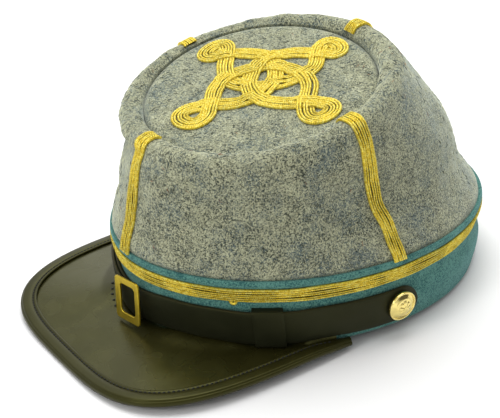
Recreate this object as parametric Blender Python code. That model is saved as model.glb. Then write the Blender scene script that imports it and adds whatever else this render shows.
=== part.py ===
"""Kepi cap: wool crown on a cloth band, gold braid, leather visor and chin strap. Units are metres.

The cap is modelled in its own frame. The seam oval, where the wool crown meets the band, lies in
the plane Z = 0 and is centred on the origin. +X is the wearer's left, -Y the front and +Z up.
All pieces are parented to one empty, which tips the cap onto its visor and the back of its band
and stands it on the plane Z = 0 of the world.

A place on the cloth is given by an angle round the head (0 at the wearer's left, 90 degrees at
the back) and a level: -1 at the hem of the band, 0 at the seam, 1 under the rim roll, 2 at the
crease inside the roll, and 3 at the end of the cloth that is turned down under the crease.
"""

import math
from collections import namedtuple

import bmesh
import bpy
from mathutils import Matrix, Vector

MM = 0.001
GAP = 0.3 * MM

SEAM_HALF_WIDTH = 85.0 * MM
SEAM_HALF_LENGTH = 106.0 * MM
CLOTH = 2.0 * MM
STATIONS_ROUND = 48

# Band: it draws in a little towards the hem, and the hem sits further back than the seam.
BAND_HEIGHT = 39.3 * MM
BAND_DRAW_IN = 2.8 * MM
BAND_SHIFT_BACK = 4.5 * MM
BAND_LEVELS = (-1.0, -0.80, -0.65, -0.45, -0.30, -0.20, -0.10)

# Rim roll: a padded ring, tipped towards the front.
RIM_CENTRE = Vector((0.0, -24.6 * MM, 65.4 * MM))
RIM_HALF_WIDTH = 67.0 * MM
RIM_HALF_LENGTH = 65.7 * MM
RIM_TILT = math.radians(14.35)
ROLL_RADIUS = 6.4 * MM
ROLL_START = math.radians(18.0)
LIP_DEPTH = 2.8 * MM

# Top disc: flat, sunk inside the roll, lower at the front and at the wearer's left.
DISC_CENTRE = Vector((0.2 * MM, -23.8 * MM, 66.7 * MM))
DISC_TILT = math.radians(15.3)
DISC_LEAN = math.radians(3.6)
DISC_EDGE_GAP = 0.5 * MM

# How far the cloth stands out from the plain shape, in millimetres. Each row is a direction round
# the head and each column a level: two on the band's lower half, its groove, the welt above it,
# the seam, then six up the wool wall to the rim.
SideRow = namedtuple(
    "SideRow", "angle hem bulge groove welt seam low under_fold fold over_fold high under_rim"
)
SIDE_LEVELS = (-1.0, -0.65, -0.33, -0.10, 0.0, 0.12, 0.25, 0.38, 0.55, 0.75, 0.90, 1.0)
SIDE_ROWS = (
    SideRow(-90, 0.0, 0.0, -0.5, 0.0, 0.0, 0.0, -0.5, -0.7, -0.4, 0.3, 0.7),
    SideRow(-60, 0.0, 0.0, -0.5, 0.0, 0.0, -0.2, -0.7, -1.2, -0.9, 0.0, 0.5),
    SideRow(-30, 0.0, 0.0, -0.5, 0.0, 0.0, -0.8, -1.6, -3.4, -2.7, -0.8, 0.2),
    SideRow(0, 0.0, 0.5, -0.5, 0.0, 0.0, -1.7, -3.2, -7.0, -5.8, -1.9, 0.0),
    SideRow(30, 0.3, 1.8, -0.5, 1.0, 1.1, -0.7, -1.8, -1.3, 0.9, 1.6, 1.0),
    SideRow(60, 0.4, 3.0, -0.8, 2.0, 2.1, 0.2, -0.5, 3.1, 5.9, 4.0, 1.6),
    SideRow(90, 0.3, 2.4, -0.6, 1.4, 1.5, 0.1, -0.4, 2.5, 4.7, 3.2, 1.3),
    SideRow(120, 0.2, 1.8, -0.5, 1.0, 1.1, 0.1, -0.3, 1.9, 3.5, 2.4, 1.0),
    SideRow(150, 0.1, 1.0, -0.5, 0.5, 0.5, -0.5, -1.2, -0.6, 1.0, 1.5, 0.6),
    SideRow(180, 0.0, 0.5, -0.5, 0.0, 0.0, -1.0, -2.0, -3.0, -1.5, 0.5, 0.3),
    SideRow(210, -0.8, -0.8, -1.4, -1.3, -1.4, -2.1, -2.7, -3.7, -2.6, -2.6, -3.0),
    SideRow(240, -1.5, -1.8, -2.5, -2.3, -2.3, -2.8, -3.2, -4.2, -3.3, -4.5, -6.0),
)
ROW_STEP = 30.0
WALL_LEVELS = (0.008, 0.12, 0.25, 0.38, 0.55, 0.75, 0.90, 1.0)
ROLL_LEVELS = (1.25, 1.5, 1.75, 2.0, 3.0)

# Braid: rows of soutache side by side, each with a groove beside it.
BRAID_WIDTH = 8.0 * MM
BRAID_THICKNESS = 1.2 * MM
SOUTACHE_ROWS = 3
SOUTACHE_GROOVE = 0.4 * MM
BRAID_LEVELS = (0.02, 0.12, 0.25, 0.38, 0.55, 0.75, 0.90, 1.0, 1.25, 1.5, 1.75, 1.92)
BAND_BRAID_TOP = -0.10
BAND_BRAID_BOTTOM = -0.295
BraidPlace = namedtuple("BraidPlace", "name angle_at_seam angle_at_rim")
UPRIGHT_BRAIDS = (
    BraidPlace("front_braid", -90.0, -91.0),
    BraidPlace("left_braid", -1.6, 3.0),
    BraidPlace("back_braid", 90.0, 90.0),
    BraidPlace("right_braid", 181.6, 178.0),
)

# Knot: four loops of braid. Each strand runs from the tip of one loop through its neck, round the
# middle of the knot and through the next loop's neck to that loop's tip. Places are on the top
# disc, from its centre: first towards the wearer's left, then towards the back.
KNOT_BRAID_WIDTH = 9.2 * MM
KNOT_LOOP_TURNS = (3.29, 2.75, 2.3, 1.85, 1.35)
KNOT_LOOP_PEAK = 0.77
KNOT_SMOOTHING = 2
KnotLoop = namedtuple("KnotLoop", "tip neck half_width")
KNOT_LOOPS = {
    "left": KnotLoop((45.8, 4.5), (29.8, 4.5), 6.5),
    "back": KnotLoop((2.2, 48.8), (0.2, 37.5), 6.0),
    "right": KnotLoop((-51.6, 5.0), (-39.0, 7.2), 6.7),
    "front": KnotLoop((-6.6, -44.0), (-7.6, -26.5), 6.8),
}
KnotStrand = namedtuple("KnotStrand", "start end height places")
KNOT_STRANDS = (
    KnotStrand("left", "back", 1.9, (
        (19.6, -3.4), (7.0, -7.8), (-3.9, -4.8), (-13.7, 4.9), (-17.4, 17.0), (-11.5, 29.5),
    )),
    KnotStrand("front", "left", 1.6, (
        (-17.2, -16.2), (-20.8, -7.0), (-19.5, 2.0), (-12.0, 14.0), (2.0, 19.7), (17.5, 17.0),
    )),
    KnotStrand("right", "front", 1.4, (
        (-30.0, 15.0), (-18.0, 19.0), (-5.0, 13.0), (3.0, 4.5), (5.0, -6.0), (1.0, -17.5),
    )),
    KnotStrand("back", "right", 1.2, (
        (8.2, 28.0), (9.2, 19.0), (5.0, 6.5), (-5.0, -3.8), (-17.0, -7.2), (-29.5, -1.2),
    )),
)

# Visor: a leather plate from the hem of the band to a rolled binding along its outer edge.
VISOR_HALF_WIDTH = 80.6 * MM
VISOR_LENGTH = 118.7 * MM
VISOR_ROOT_Y = -26.5 * MM
VISOR_SQUARENESS = 3.87
VISOR_EDGE_Z = -38.4 * MM
VISOR_DROP = math.tan(math.radians(4.4))
VISOR_DROP_START_Y = -40.0 * MM
VISOR_CORNER_RISE = 4.7 * MM
VISOR_END_SINK = 1.5 * MM
VISOR_END_LENGTH = 32.0 * MM
VISOR_THICKNESS = 1.8 * MM
VISOR_STATIONS = 44
VISOR_PLATE_START = math.radians(6.0)
VISOR_HEM_START = math.radians(22.0)
VISOR_HEM_FRONT_Z = -39.3 * MM
VISOR_HEM_SIDE_RISE = 1.9 * MM
VISOR_HEM_END_SINK = 1.0 * MM
VISOR_HEM_RISE_FROM, VISOR_HEM_RISE_TO = 6.0, 22.0
VISOR_HEM_SINK_FROM, VISOR_HEM_SINK_TO = 50.0, 68.0
VISOR_TUCK = 0.6 * MM
VISOR_LEVEL_SHARE, VISOR_MIDDLE_SHARE = 0.10, 0.55
BINDING_START = math.radians(1.2)
BINDING_WIDTH = 8.5 * MM
BINDING_END_WIDTH = 3.5 * MM
BINDING_UNDER_WIDTH = 6.0 * MM
BINDING_LEATHER = 1.0 * MM
BINDING_RADIUS = 2.2 * MM
BINDING_END_RADIUS = 1.75 * MM
BINDING_ROLL_TAPER = 14.0 * MM
BINDING_WIDTH_TAPER = 24.0 * MM

# Chin strap, its second layer, keeper and buckle.
STRAP_WIDTH = 18.5 * MM
STRAP_THICKNESS = 1.8 * MM
STRAP_Z = -26.0 * MM
STRAP_FRONT_DIP = 2.6 * MM
STRAP_DIP_REACH = 20.0
STRAP_BEVEL = 0.5 * MM
STRAP_END_ANGLE = 4.0
STRAP_STATIONS = 46
TONGUE_THICKNESS = 1.6 * MM
TONGUE_START_ANGLE = -83.5
TONGUE_END_ANGLE = -128.0
TONGUE_STATIONS = 12
KEEPER_ANGLE = -40.8
KEEPER_HALF_ANGLE = 4.4
KEEPER_LEATHER = 1.0 * MM
KEEPER_LIFT_FROM, KEEPER_LIFT_TO = 5.0, 17.0
KEEPER_BACK_CLEARANCE = 0.05 * MM
KEEPER_STATIONS = 5
BUCKLE_CENTRE = Vector((1.2 * MM, -106.7 * MM, -26.7 * MM))
BUCKLE_WIDTH = 21.0 * MM
BUCKLE_HEIGHT = 23.0 * MM
BUCKLE_OPENING_WIDTH = 13.4 * MM
BUCKLE_OPENING_HEIGHT = 15.4 * MM
BUCKLE_THICKNESS = 1.5 * MM
BUCKLE_CORNER = 2.2 * MM
BUCKLE_TURN = math.radians(6.0)
BUCKLE_LEAN = math.radians(6.0)

# Buttons: a domed disc with a raised rim, its flat back against the end of the strap.
BUTTON_RADIUS = 8.0 * MM
BUTTON_HEIGHT = 4.2 * MM
BUTTON_RIM = 1.1 * MM
BUTTON_EDGE = 1.9 * MM
BUTTON_RIM_TOP = 2.3 * MM
BUTTON_BEVEL = 0.25 * MM
BUTTON_STEPS = 24
BUTTON_ANGLE = -2.4
BUTTON_Z = -25.4 * MM

WOOL = (0.28, 0.28, 0.27, 1.0)
TEAL = (0.035, 0.12, 0.15, 1.0)
GOLD = (0.75, 0.52, 0.11, 1.0)
LEATHER = (0.022, 0.024, 0.016, 1.0)
BRASS = (0.60, 0.38, 0.12, 1.0)
POLISHED = (0.85, 0.68, 0.28, 1.0)


def clear_scene():
    for old in list(bpy.data.objects):
        bpy.data.objects.remove(old, do_unlink=True)


def make_material(name, colour, roughness, metallic):
    material = bpy.data.materials.new(name)
    material.use_nodes = True
    shader = material.node_tree.nodes["Principled BSDF"]
    shader.inputs["Base Color"].default_value = colour
    shader.inputs["Roughness"].default_value = roughness
    shader.inputs["Metallic"].default_value = metallic
    return material


def add_object(name, mesh, material, parent, smooth_angle=35.0):
    mesh.shade_smooth()
    mesh.set_sharp_from_angle(angle=math.radians(smooth_angle))
    mesh.materials.append(material)
    made = bpy.data.objects.new(name, mesh)
    bpy.context.scene.collection.objects.link(made)
    made.parent = parent
    return made


def finish_bmesh(name, built):
    bmesh.ops.recalc_face_normals(built, faces=built.faces)
    mesh = bpy.data.meshes.new(name)
    built.to_mesh(mesh)
    built.free()
    return mesh


def smooth_step(value):
    held = min(1.0, max(0.0, value))
    return held * held * (3.0 - 2.0 * held)


def part_way(value, start, end):
    """How far the value is from start to end, eased at both."""
    return smooth_step((value - start) / (end - start))


def ease(first, last, start, end, t):
    """From first to last as t runs from 0 to 1, leaving with the slope start and arriving with end."""
    rise = last - first
    return first + t * (start + t * ((3 * rise - 2 * start - end) + t * (start + end - 2 * rise)))


def hermite(places, values, at):
    """A smooth curve through the values, with the slope at each place taken across its neighbours."""
    at = min(max(at, places[0]), places[-1])
    last = len(places) - 1
    i = max(k for k in range(last) if places[k] <= at)
    span = places[i + 1] - places[i]

    def slope(k):
        low, high = max(k - 1, 0), min(k + 1, last)
        return (values[high] - values[low]) / (places[high] - places[low])

    return ease(values[i], values[i + 1], slope(i) * span, slope(i + 1) * span, (at - places[i]) / span)


def bulge(angle, level):
    """How far the cloth stands out at this place, from the table, in metres."""
    turn = (math.degrees(angle) - SIDE_ROWS[0].angle) % 360.0 / ROW_STEP
    base = int(turn)
    t = turn - base
    near = []
    for step in (-1, 0, 1, 2):
        row = SIDE_ROWS[(base + step) % len(SIDE_ROWS)]
        near.append(hermite(SIDE_LEVELS, tuple(row[1:]) + (0.0,), level))
    before, here, after, beyond = near
    return MM * ease(here, after, (after - before) / 2.0, (beyond - here) / 2.0, t)


def oval_outward(angle):
    return Vector((math.cos(angle) / SEAM_HALF_WIDTH, math.sin(angle) / SEAM_HALF_LENGTH, 0.0)).normalized()


def band_base(angle, level):
    down = -level
    return Vector((
        (SEAM_HALF_WIDTH - BAND_DRAW_IN * down) * math.cos(angle),
        (SEAM_HALF_LENGTH - BAND_DRAW_IN * down) * math.sin(angle) + BAND_SHIFT_BACK * down,
        -BAND_HEIGHT * down,
    ))


def rim_axes(angle):
    """The rim roll's centre line at this angle, and the directions out from it and up."""
    outward = Vector((
        math.cos(angle), math.sin(angle) * math.cos(RIM_TILT), math.sin(angle) * math.sin(RIM_TILT)
    ))
    upward = Vector((0.0, -math.sin(RIM_TILT), math.cos(RIM_TILT)))
    reach = Vector((
        RIM_HALF_WIDTH * math.cos(angle),
        RIM_HALF_LENGTH * math.sin(angle) * math.cos(RIM_TILT),
        RIM_HALF_LENGTH * math.sin(angle) * math.sin(RIM_TILT),
    ))
    return RIM_CENTRE + reach, outward, upward


def roll_point(angle, turn):
    centre, outward, upward = rim_axes(angle)
    return centre + ROLL_RADIUS * (outward * math.cos(turn) + upward * math.sin(turn))


def disc_axes():
    """The top disc's sideways, backward and upward directions."""
    normal = Vector((math.sin(DISC_LEAN), -math.sin(DISC_TILT), 0.0))
    normal.z = math.sqrt(1.0 - normal.x ** 2 - normal.y ** 2)
    sideways = (Vector((1.0, 0.0, 0.0)) - normal.x * normal).normalized()
    return sideways, normal.cross(sideways), normal


def height_over_disc(point):
    return (point - DISC_CENTRE).dot(disc_axes()[2])


def crease(angle):
    """How far round the roll the cloth turns before it meets the disc, and how far it then drops."""
    low, high = math.radians(90.0), math.radians(180.0)
    below = height_over_disc(roll_point(angle, high))
    if below > 0.0:
        return high, below
    for _ in range(24):
        middle = (low + high) / 2.0
        if height_over_disc(roll_point(angle, middle)) > 0.0:
            low = middle
        else:
            high = middle
    return low, 0.0


def wool_point(angle, level):
    """A place on the outside of the wool: the wall, the rim roll and the cloth turned down in it."""
    if level <= 1.0:
        foot = Vector((SEAM_HALF_WIDTH * math.cos(angle), SEAM_HALF_LENGTH * math.sin(angle), 0.0))
        return foot.lerp(roll_point(angle, ROLL_START), level) + oval_outward(angle) * bulge(angle, level)
    end, drop = crease(angle)
    way = min(level, 2.0) - 1.0
    sunk = drop * way * way + LIP_DEPTH * max(0.0, level - 2.0)
    return roll_point(angle, ROLL_START + way * (end - ROLL_START)) - disc_axes()[2] * sunk


def cloth_point(angle, level):
    if level >= 0.0:
        return wool_point(angle, level)
    return band_base(angle, level) + oval_outward(angle) * bulge(angle, level)


def cloth_normal(angle, level):
    step = 0.004
    round_the_head = cloth_point(angle + step, level) - cloth_point(angle - step, level)
    up_the_cloth = cloth_point(angle, level + step) - cloth_point(angle, level - step)
    return round_the_head.cross(up_the_cloth).normalized()


def off_cloth(angle, level, lift):
    return cloth_point(angle, level) + cloth_normal(angle, level) * lift


def shell(name, outer, inner, closed=True):
    """One closed body between two grids of points; each row runs round, closed into a ring or open."""
    built = bmesh.new()
    sheets = [[[built.verts.new(point) for point in row] for row in grid] for grid in (outer, inner)]
    rows, columns = len(outer), len(outer[0])
    spans = [(j, (j + 1) % columns) for j in range(columns if closed else columns - 1)]
    for i in range(rows - 1):
        for j, k in spans:
            built.faces.new([sheets[0][i][j], sheets[0][i][k], sheets[0][i + 1][k], sheets[0][i + 1][j]])
            built.faces.new([sheets[1][i][k], sheets[1][i][j], sheets[1][i + 1][j], sheets[1][i + 1][k]])
    for j, k in spans:
        for i in (0, rows - 1):
            built.faces.new([sheets[0][i][j], sheets[0][i][k], sheets[1][i][k], sheets[1][i][j]])
    if not closed:
        for i in range(rows - 1):
            for j in (0, columns - 1):
                built.faces.new([sheets[0][i][j], sheets[0][i + 1][j], sheets[1][i + 1][j], sheets[1][i][j]])
    return finish_bmesh(name, built)


def sweep(name, sections, closed=False):
    """One closed body through a row of outlines, joined end to end or capped at both ends."""
    built = bmesh.new()
    rings = [[built.verts.new(point) for point in section] for section in sections]
    count = len(rings)
    around = len(rings[0])
    for i in range(count if closed else count - 1):
        here, there = rings[i], rings[(i + 1) % count]
        for j in range(around):
            k = (j + 1) % around
            built.faces.new([here[j], here[k], there[k], there[j]])
    if not closed:
        built.faces.new(list(reversed(rings[0])))
        built.faces.new(rings[-1])
    return finish_bmesh(name, built)


def angles_round():
    return [2.0 * math.pi * i / STATIONS_ROUND for i in range(STATIONS_ROUND)]


def spread(start, end, count):
    return [start + (end - start) * i / (count - 1) for i in range(count)]


def build_crown_side(material, parent):
    levels = WALL_LEVELS + ROLL_LEVELS
    outer = [[cloth_point(a, level) for a in angles_round()] for level in levels]
    inner = [[off_cloth(a, level, -CLOTH) for a in angles_round()] for level in levels]
    for outside, inside in zip(outer[0], inner[0]):
        inside.z = outside.z
    add_object("crown_side", shell("crown_side", outer, inner), material, parent)


def build_band(material, parent):
    levels = BAND_LEVELS + (-GAP / BAND_HEIGHT,)
    outer = [[cloth_point(a, level) for a in angles_round()] for level in levels]
    inner = [[off_cloth(a, level, -CLOTH) for a in angles_round()] for level in levels]
    for row in (0, -1):
        for outside, inside in zip(outer[row], inner[row]):
            inside.z = outside.z
    add_object("band", shell("band", outer, inner), material, parent)


def disc_edge(angle):
    """A point of the disc's edge, just inside the crease and exactly in the disc's plane."""
    upward = disc_axes()[2]
    met = cloth_point(angle, 2.0)
    met = met - upward * height_over_disc(met)
    inward = (DISC_CENTRE - met).normalized()
    return met + inward * DISC_EDGE_GAP


def build_crown_top(material, parent):
    upward = disc_axes()[2]
    edge = [disc_edge(a) for a in angles_round()]
    built = bmesh.new()
    top = [built.verts.new(point) for point in edge]
    bottom = [built.verts.new(point - upward * CLOTH) for point in edge]
    built.faces.new(top)
    built.faces.new(list(reversed(bottom)))
    for j in range(len(edge)):
        k = (j + 1) % len(edge)
        built.faces.new([top[k], top[j], bottom[j], bottom[k]])
    add_object("crown_top", finish_bmesh("crown_top", built), material, parent)


def soutache_profile(width):
    """Places across a braid and their heights: flat below, one low ridge for each row above."""
    edge = width / 2.0
    pitch = width / SOUTACHE_ROWS
    profile = [(edge, 0.0), (edge, BRAID_THICKNESS - SOUTACHE_GROOVE)]
    for row in range(SOUTACHE_ROWS):
        ridge = edge - pitch * (row + 0.5)
        profile.append((ridge, BRAID_THICKNESS))
        profile.append((ridge - pitch / 2.0, BRAID_THICKNESS - SOUTACHE_GROOVE))
    profile.append((-edge, 0.0))
    return profile


def braid_angle(place, level):
    way = min(1.0, level)
    return math.radians(place.angle_at_seam + (place.angle_at_rim - place.angle_at_seam) * way)


def build_upright_braids(material, parent):
    for place in UPRIGHT_BRAIDS:
        sections = []
        for level in BRAID_LEVELS:
            middle = braid_angle(place, level)
            step = 0.01
            round_the_head = cloth_point(middle + step, level) - cloth_point(middle - step, level)
            stretch = round_the_head.length / (2.0 * step)
            sections.append([
                off_cloth(middle + across / stretch, level, GAP + height)
                for across, height in soutache_profile(BRAID_WIDTH)
            ])
        add_object(place.name, sweep(place.name, sections), material, parent)


def build_band_braid(material, parent):
    width = (BAND_BRAID_TOP - BAND_BRAID_BOTTOM) * BAND_HEIGHT
    middle = (BAND_BRAID_TOP + BAND_BRAID_BOTTOM) / 2.0
    profile = soutache_profile(width)
    sections = [
        [off_cloth(a, middle + across / BAND_HEIGHT, GAP + height) for across, height in profile]
        for a in angles_round()
    ]
    add_object("band_braid", sweep("band_braid", sections, closed=True), material, parent)


def knot_loop_place(loop, side, turn):
    """A place on a loop's middle line: turn runs from 0 at the neck to half a turn at the tip."""
    neck, tip = Vector(loop.neck), Vector(loop.tip)
    along = tip - neck
    across = Vector((-along.y, along.x)).normalized()
    out = loop.half_width * math.sin(turn) * math.sin(turn / 2.0) / KNOT_LOOP_PEAK
    return neck + along * ((1.0 - math.cos(turn)) / 2.0) + across * (side * out)


def smooth_path(places, steps):
    """A rounded line through the places, with this many steps from each one to the next."""
    last = len(places) - 1
    spans = [math.sqrt((places[i + 1] - places[i]).length) for i in range(last)]

    def slope(i):
        if i == 0 or i == last:
            near = min(i, last - 1)
            return (places[near + 1] - places[near]) / spans[near]
        before, after = spans[i - 1], spans[i]
        return (
            (places[i] - places[i - 1]) / before - (places[i + 1] - places[i - 1]) / (before + after)
            + (places[i + 1] - places[i]) / after
        )

    path = []
    for i in range(last):
        start, end = slope(i) * spans[i], slope(i + 1) * spans[i]
        for step in range(steps):
            path.append(ease(places[i], places[i + 1], start, end, step / steps))
    return path + [places[last]]


def knot_path(strand):
    """The strand's middle line on the top disc, in metres."""
    start, end = KNOT_LOOPS[strand.start], KNOT_LOOPS[strand.end]
    places = [knot_loop_place(start, 1, turn) for turn in KNOT_LOOP_TURNS]
    places += [Vector(place) for place in (start.neck,) + strand.places + (end.neck,)]
    places += [knot_loop_place(end, -1, turn) for turn in reversed(KNOT_LOOP_TURNS)]
    return [place * MM for place in smooth_path(places, KNOT_SMOOTHING)]


def build_strand(strand, name, material, parent):
    path = knot_path(strand)
    sections = []
    for i, point in enumerate(path):
        ahead = path[min(i + 1, len(path) - 1)] - path[max(i - 1, 0)]
        across = Vector((-ahead.y, ahead.x)).normalized() * (KNOT_BRAID_WIDTH / 2.0)
        low, high = GAP, GAP + strand.height * MM
        left, right = point + across, point - across
        sections.append([
            (left.x, left.y, low), (left.x, left.y, high), (right.x, right.y, high), (right.x, right.y, low),
        ])
    made = add_object(name, sweep(name, sections), material, parent)
    sideways, backward, upward = disc_axes()
    made.rotation_euler = Matrix((sideways, backward, upward)).transposed().to_euler()
    made.location = DISC_CENTRE
    return made


def build_crown_knot(material, parent):
    knot = build_strand(KNOT_STRANDS[0], "crown_knot", material, parent)
    for number, strand in enumerate(KNOT_STRANDS[1:]):
        other = build_strand(strand, f"knot_strand_{number}", material, parent)
        other.hide_render = True
        other.display_type = "WIRE"
        join = knot.modifiers.new(f"join_{number}", "BOOLEAN")
        join.operation = "UNION"
        join.solver = "EXACT"
        join.use_self = True
        join.object = other


def visor_outline(turn):
    """The middle of the binding's roll, seen from above; turn runs from the left end to the right."""
    side, ahead = abs(math.cos(turn)) / VISOR_HALF_WIDTH, abs(math.sin(turn)) / VISOR_LENGTH
    reach = (side ** VISOR_SQUARENESS + ahead ** VISOR_SQUARENESS) ** (-1.0 / VISOR_SQUARENESS)
    return Vector((reach * math.cos(turn), VISOR_ROOT_Y - reach * math.sin(turn), 0.0))


def visor_edge(turn):
    point = visor_outline(turn)
    ahead = max(0.0, VISOR_DROP_START_Y - point.y)
    rise = VISOR_CORNER_RISE * (point.x / VISOR_HALF_WIDTH) ** 2 * ahead / (100.0 * MM)
    sink = VISOR_END_SINK * (1.0 - smooth_step((VISOR_ROOT_Y - point.y) / VISOR_END_LENGTH))
    point.z = VISOR_EDGE_Z - VISOR_DROP * ahead + rise - sink
    return point


def visor_hem(turn):
    """The visor's inner edge: it lies against the band, lowest at the front under the buckle."""
    end = VISOR_HEM_START
    angle = -(end + (turn - VISOR_PLATE_START) * (math.pi - 2 * end) / (math.pi - 2 * VISOR_PLATE_START))
    from_front = abs(math.degrees(angle) + 90.0)
    rise = VISOR_HEM_SIDE_RISE * part_way(from_front, VISOR_HEM_RISE_FROM, VISOR_HEM_RISE_TO)
    sink = VISOR_HEM_END_SINK * part_way(from_front, VISOR_HEM_SINK_FROM, VISOR_HEM_SINK_TO)
    top = VISOR_HEM_FRONT_Z + rise - sink
    point = cloth_point(angle, max(-1.0, top / BAND_HEIGHT)) + oval_outward(angle) * GAP
    point.z = top - VISOR_THICKNESS / 2.0
    return point


def visor_inward(turn):
    """Down the plate from its edge towards the band, one metre of distance square to the edge."""
    step = 0.01
    along = visor_outline(turn + step) - visor_outline(turn - step)
    square = Vector((-along.y, along.x, 0.0)).normalized()
    inward = visor_hem(turn) - visor_edge(turn)
    if square.dot(inward) < 0.0:
        square = -square
    return inward / max(square.dot(inward), 0.3 * inward.length)


def build_visor(material, parent):
    """The plate runs from the band into the fold of the binding."""
    turns = spread(VISOR_PLATE_START, math.pi - VISOR_PLATE_START, VISOR_STATIONS)
    middle = [[], [], [], []]
    for turn in turns:
        hem = visor_hem(turn)
        rim = visor_edge(turn) - visor_inward(turn) * VISOR_TUCK
        flat = hem.lerp(rim, VISOR_LEVEL_SHARE)
        flat.z = hem.z
        for row, point in zip(middle, (hem, flat, hem.lerp(rim, VISOR_MIDDLE_SHARE), rim)):
            row.append(point)
    half = Vector((0.0, 0.0, VISOR_THICKNESS / 2.0))
    top = [[point + half for point in row] for row in middle]
    bottom = [[point - half for point in row] for row in middle]
    add_object("visor", shell("visor", top, bottom, closed=False), material, parent)


def binding_profile(radius, width, under_width):
    """The folded strip: distance inward from the middle of its roll, and height above it."""
    inside = radius - BINDING_LEATHER
    bow = radius * math.sqrt(0.5)
    return (
        (width - radius, radius), (0.0, radius), (-bow, bow), (-radius, 0.0), (-bow, -bow), (0.0, -radius),
        (under_width - radius, -radius), (under_width - radius, -inside), (-0.7 * inside, -inside),
        (-inside, -0.5 * inside), (-inside, 0.5 * inside), (-0.7 * inside, inside), (width - radius, inside),
    )


def build_visor_binding(material, parent):
    sections = []
    for turn in spread(BINDING_START, math.pi - BINDING_START, VISOR_STATIONS + 4):
        edge = visor_edge(turn)
        thicker = smooth_step((VISOR_ROOT_Y - edge.y) / BINDING_ROLL_TAPER)
        grown = smooth_step((VISOR_ROOT_Y - edge.y) / BINDING_WIDTH_TAPER)
        radius = BINDING_END_RADIUS + (BINDING_RADIUS - BINDING_END_RADIUS) * thicker
        width = BINDING_END_WIDTH + (BINDING_WIDTH - BINDING_END_WIDTH) * grown
        under = BINDING_END_WIDTH + (BINDING_UNDER_WIDTH - BINDING_END_WIDTH) * grown
        inward = visor_inward(turn)
        sections.append([
            edge + inward * distance + Vector((0.0, 0.0, height))
            for distance, height in binding_profile(radius, width, under)
        ])
    add_object("visor_binding", sweep("visor_binding", sections), material, parent)


def strap_level(angle, across):
    """The band level of a place across the strap; the strap dips at the buckle."""
    from_front = abs(math.degrees(angle) + 90.0)
    dip = STRAP_FRONT_DIP * (1.0 - part_way(from_front, 0.0, STRAP_DIP_REACH))
    return (STRAP_Z - dip + across) / BAND_HEIGHT


def strap_lift(angle):
    """The strap lies on the band and stands off a little where the keeper passes behind it."""
    from_keeper = abs(math.degrees(angle) - KEEPER_ANGLE)
    return GAP + (KEEPER_LEATHER + GAP) * (1.0 - part_way(from_keeper, KEEPER_LIFT_FROM, KEEPER_LIFT_TO))


def strap_section(angle, half_width, low, thickness):
    high = low + thickness
    profile = (
        (-half_width, low), (-half_width, high - STRAP_BEVEL), (STRAP_BEVEL - half_width, high), (0.0, high),
        (half_width - STRAP_BEVEL, high), (half_width, high - STRAP_BEVEL), (half_width, low), (0.0, low),
    )
    return [off_cloth(angle, strap_level(angle, across), lift) for across, lift in profile]


def round_end(distance, half_width):
    """Half the width of a strap with a round end, this far from its tip."""
    if distance >= half_width:
        return half_width
    return math.sqrt(max(half_width ** 2 - (half_width - distance) ** 2, (0.2 * half_width) ** 2))


def strap_angles():
    """Stations from the left end round the front to the right end, closer together at the ends."""
    ends = [STRAP_END_ANGLE - step for step in (0.0, 0.4, 1.2, 2.4, 4.0)]
    middle = spread(STRAP_END_ANGLE - 6.0, -180.0 - STRAP_END_ANGLE + 6.0, STRAP_STATIONS)
    others = [-180.0 - angle for angle in reversed(ends)]
    return ends + middle + others


def build_chin_strap(material, parent):
    sections = []
    for degrees in strap_angles():
        angle = math.radians(degrees)
        from_end = min(STRAP_END_ANGLE - degrees, degrees + 180.0 + STRAP_END_ANGLE)
        width = round_end(math.radians(from_end) * SEAM_HALF_LENGTH, STRAP_WIDTH / 2.0)
        sections.append(strap_section(angle, width, strap_lift(angle), STRAP_THICKNESS))
    add_object("chin_strap", sweep("chin_strap", sections), material, parent)


def build_strap_tongue(material, parent):
    sections = []
    half_width = STRAP_WIDTH / 2.0
    for degrees in spread(TONGUE_START_ANGLE, TONGUE_END_ANGLE + 5.0, TONGUE_STATIONS) + [
        TONGUE_END_ANGLE + step for step in (3.0, 1.2, 0.0)
    ]:
        angle = math.radians(degrees)
        width = round_end(math.radians(degrees - TONGUE_END_ANGLE) * SEAM_HALF_WIDTH, half_width)
        low = strap_lift(angle) + STRAP_THICKNESS + GAP
        sections.append(strap_section(angle, width, low, TONGUE_THICKNESS))
    add_object("strap_tongue", sweep("strap_tongue", sections), material, parent)


def build_strap_keeper(material, parent):
    """A leather loop round the strap, between it and the band at the back."""
    half = STRAP_WIDTH / 2.0 + GAP
    low = strap_lift(math.radians(KEEPER_ANGLE)) - GAP
    high = low + STRAP_THICKNESS + 2.0 * GAP
    inside = ((-half, low), (-half, high), (half, high), (half, low))
    far = half + KEEPER_LEATHER
    behind = low - KEEPER_LEATHER + KEEPER_BACK_CLEARANCE
    front = high + KEEPER_LEATHER
    outside = ((-far, behind), (-far, front), (far, front), (far, behind))
    first, last = KEEPER_ANGLE - KEEPER_HALF_ANGLE, KEEPER_ANGLE + KEEPER_HALF_ANGLE
    stations = [math.radians(degrees) for degrees in spread(first, last, KEEPER_STATIONS)]
    grids = []
    for profile in (outside, inside):
        grids.append([
            [off_cloth(angle, strap_level(angle, across), lift) for across, lift in profile]
            for angle in stations
        ])
    add_object("strap_keeper", shell("strap_keeper", *grids), material, parent)


def add_slab(name, width, height, depth, corner, material, parent):
    """A flat plate facing the front, with rounded corners."""
    built = bmesh.new()
    bmesh.ops.create_cube(built, size=1.0)
    bmesh.ops.scale(built, vec=(width, depth, height), verts=built.verts)
    upright = [
        edge for edge in built.edges
        if abs((edge.verts[0].co - edge.verts[1].co).normalized().y) > 0.9
    ]
    bmesh.ops.bevel(built, geom=upright, offset=corner, segments=4, profile=0.5, affect="EDGES")
    return add_object(name, finish_bmesh(name, built), material, parent)


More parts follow.
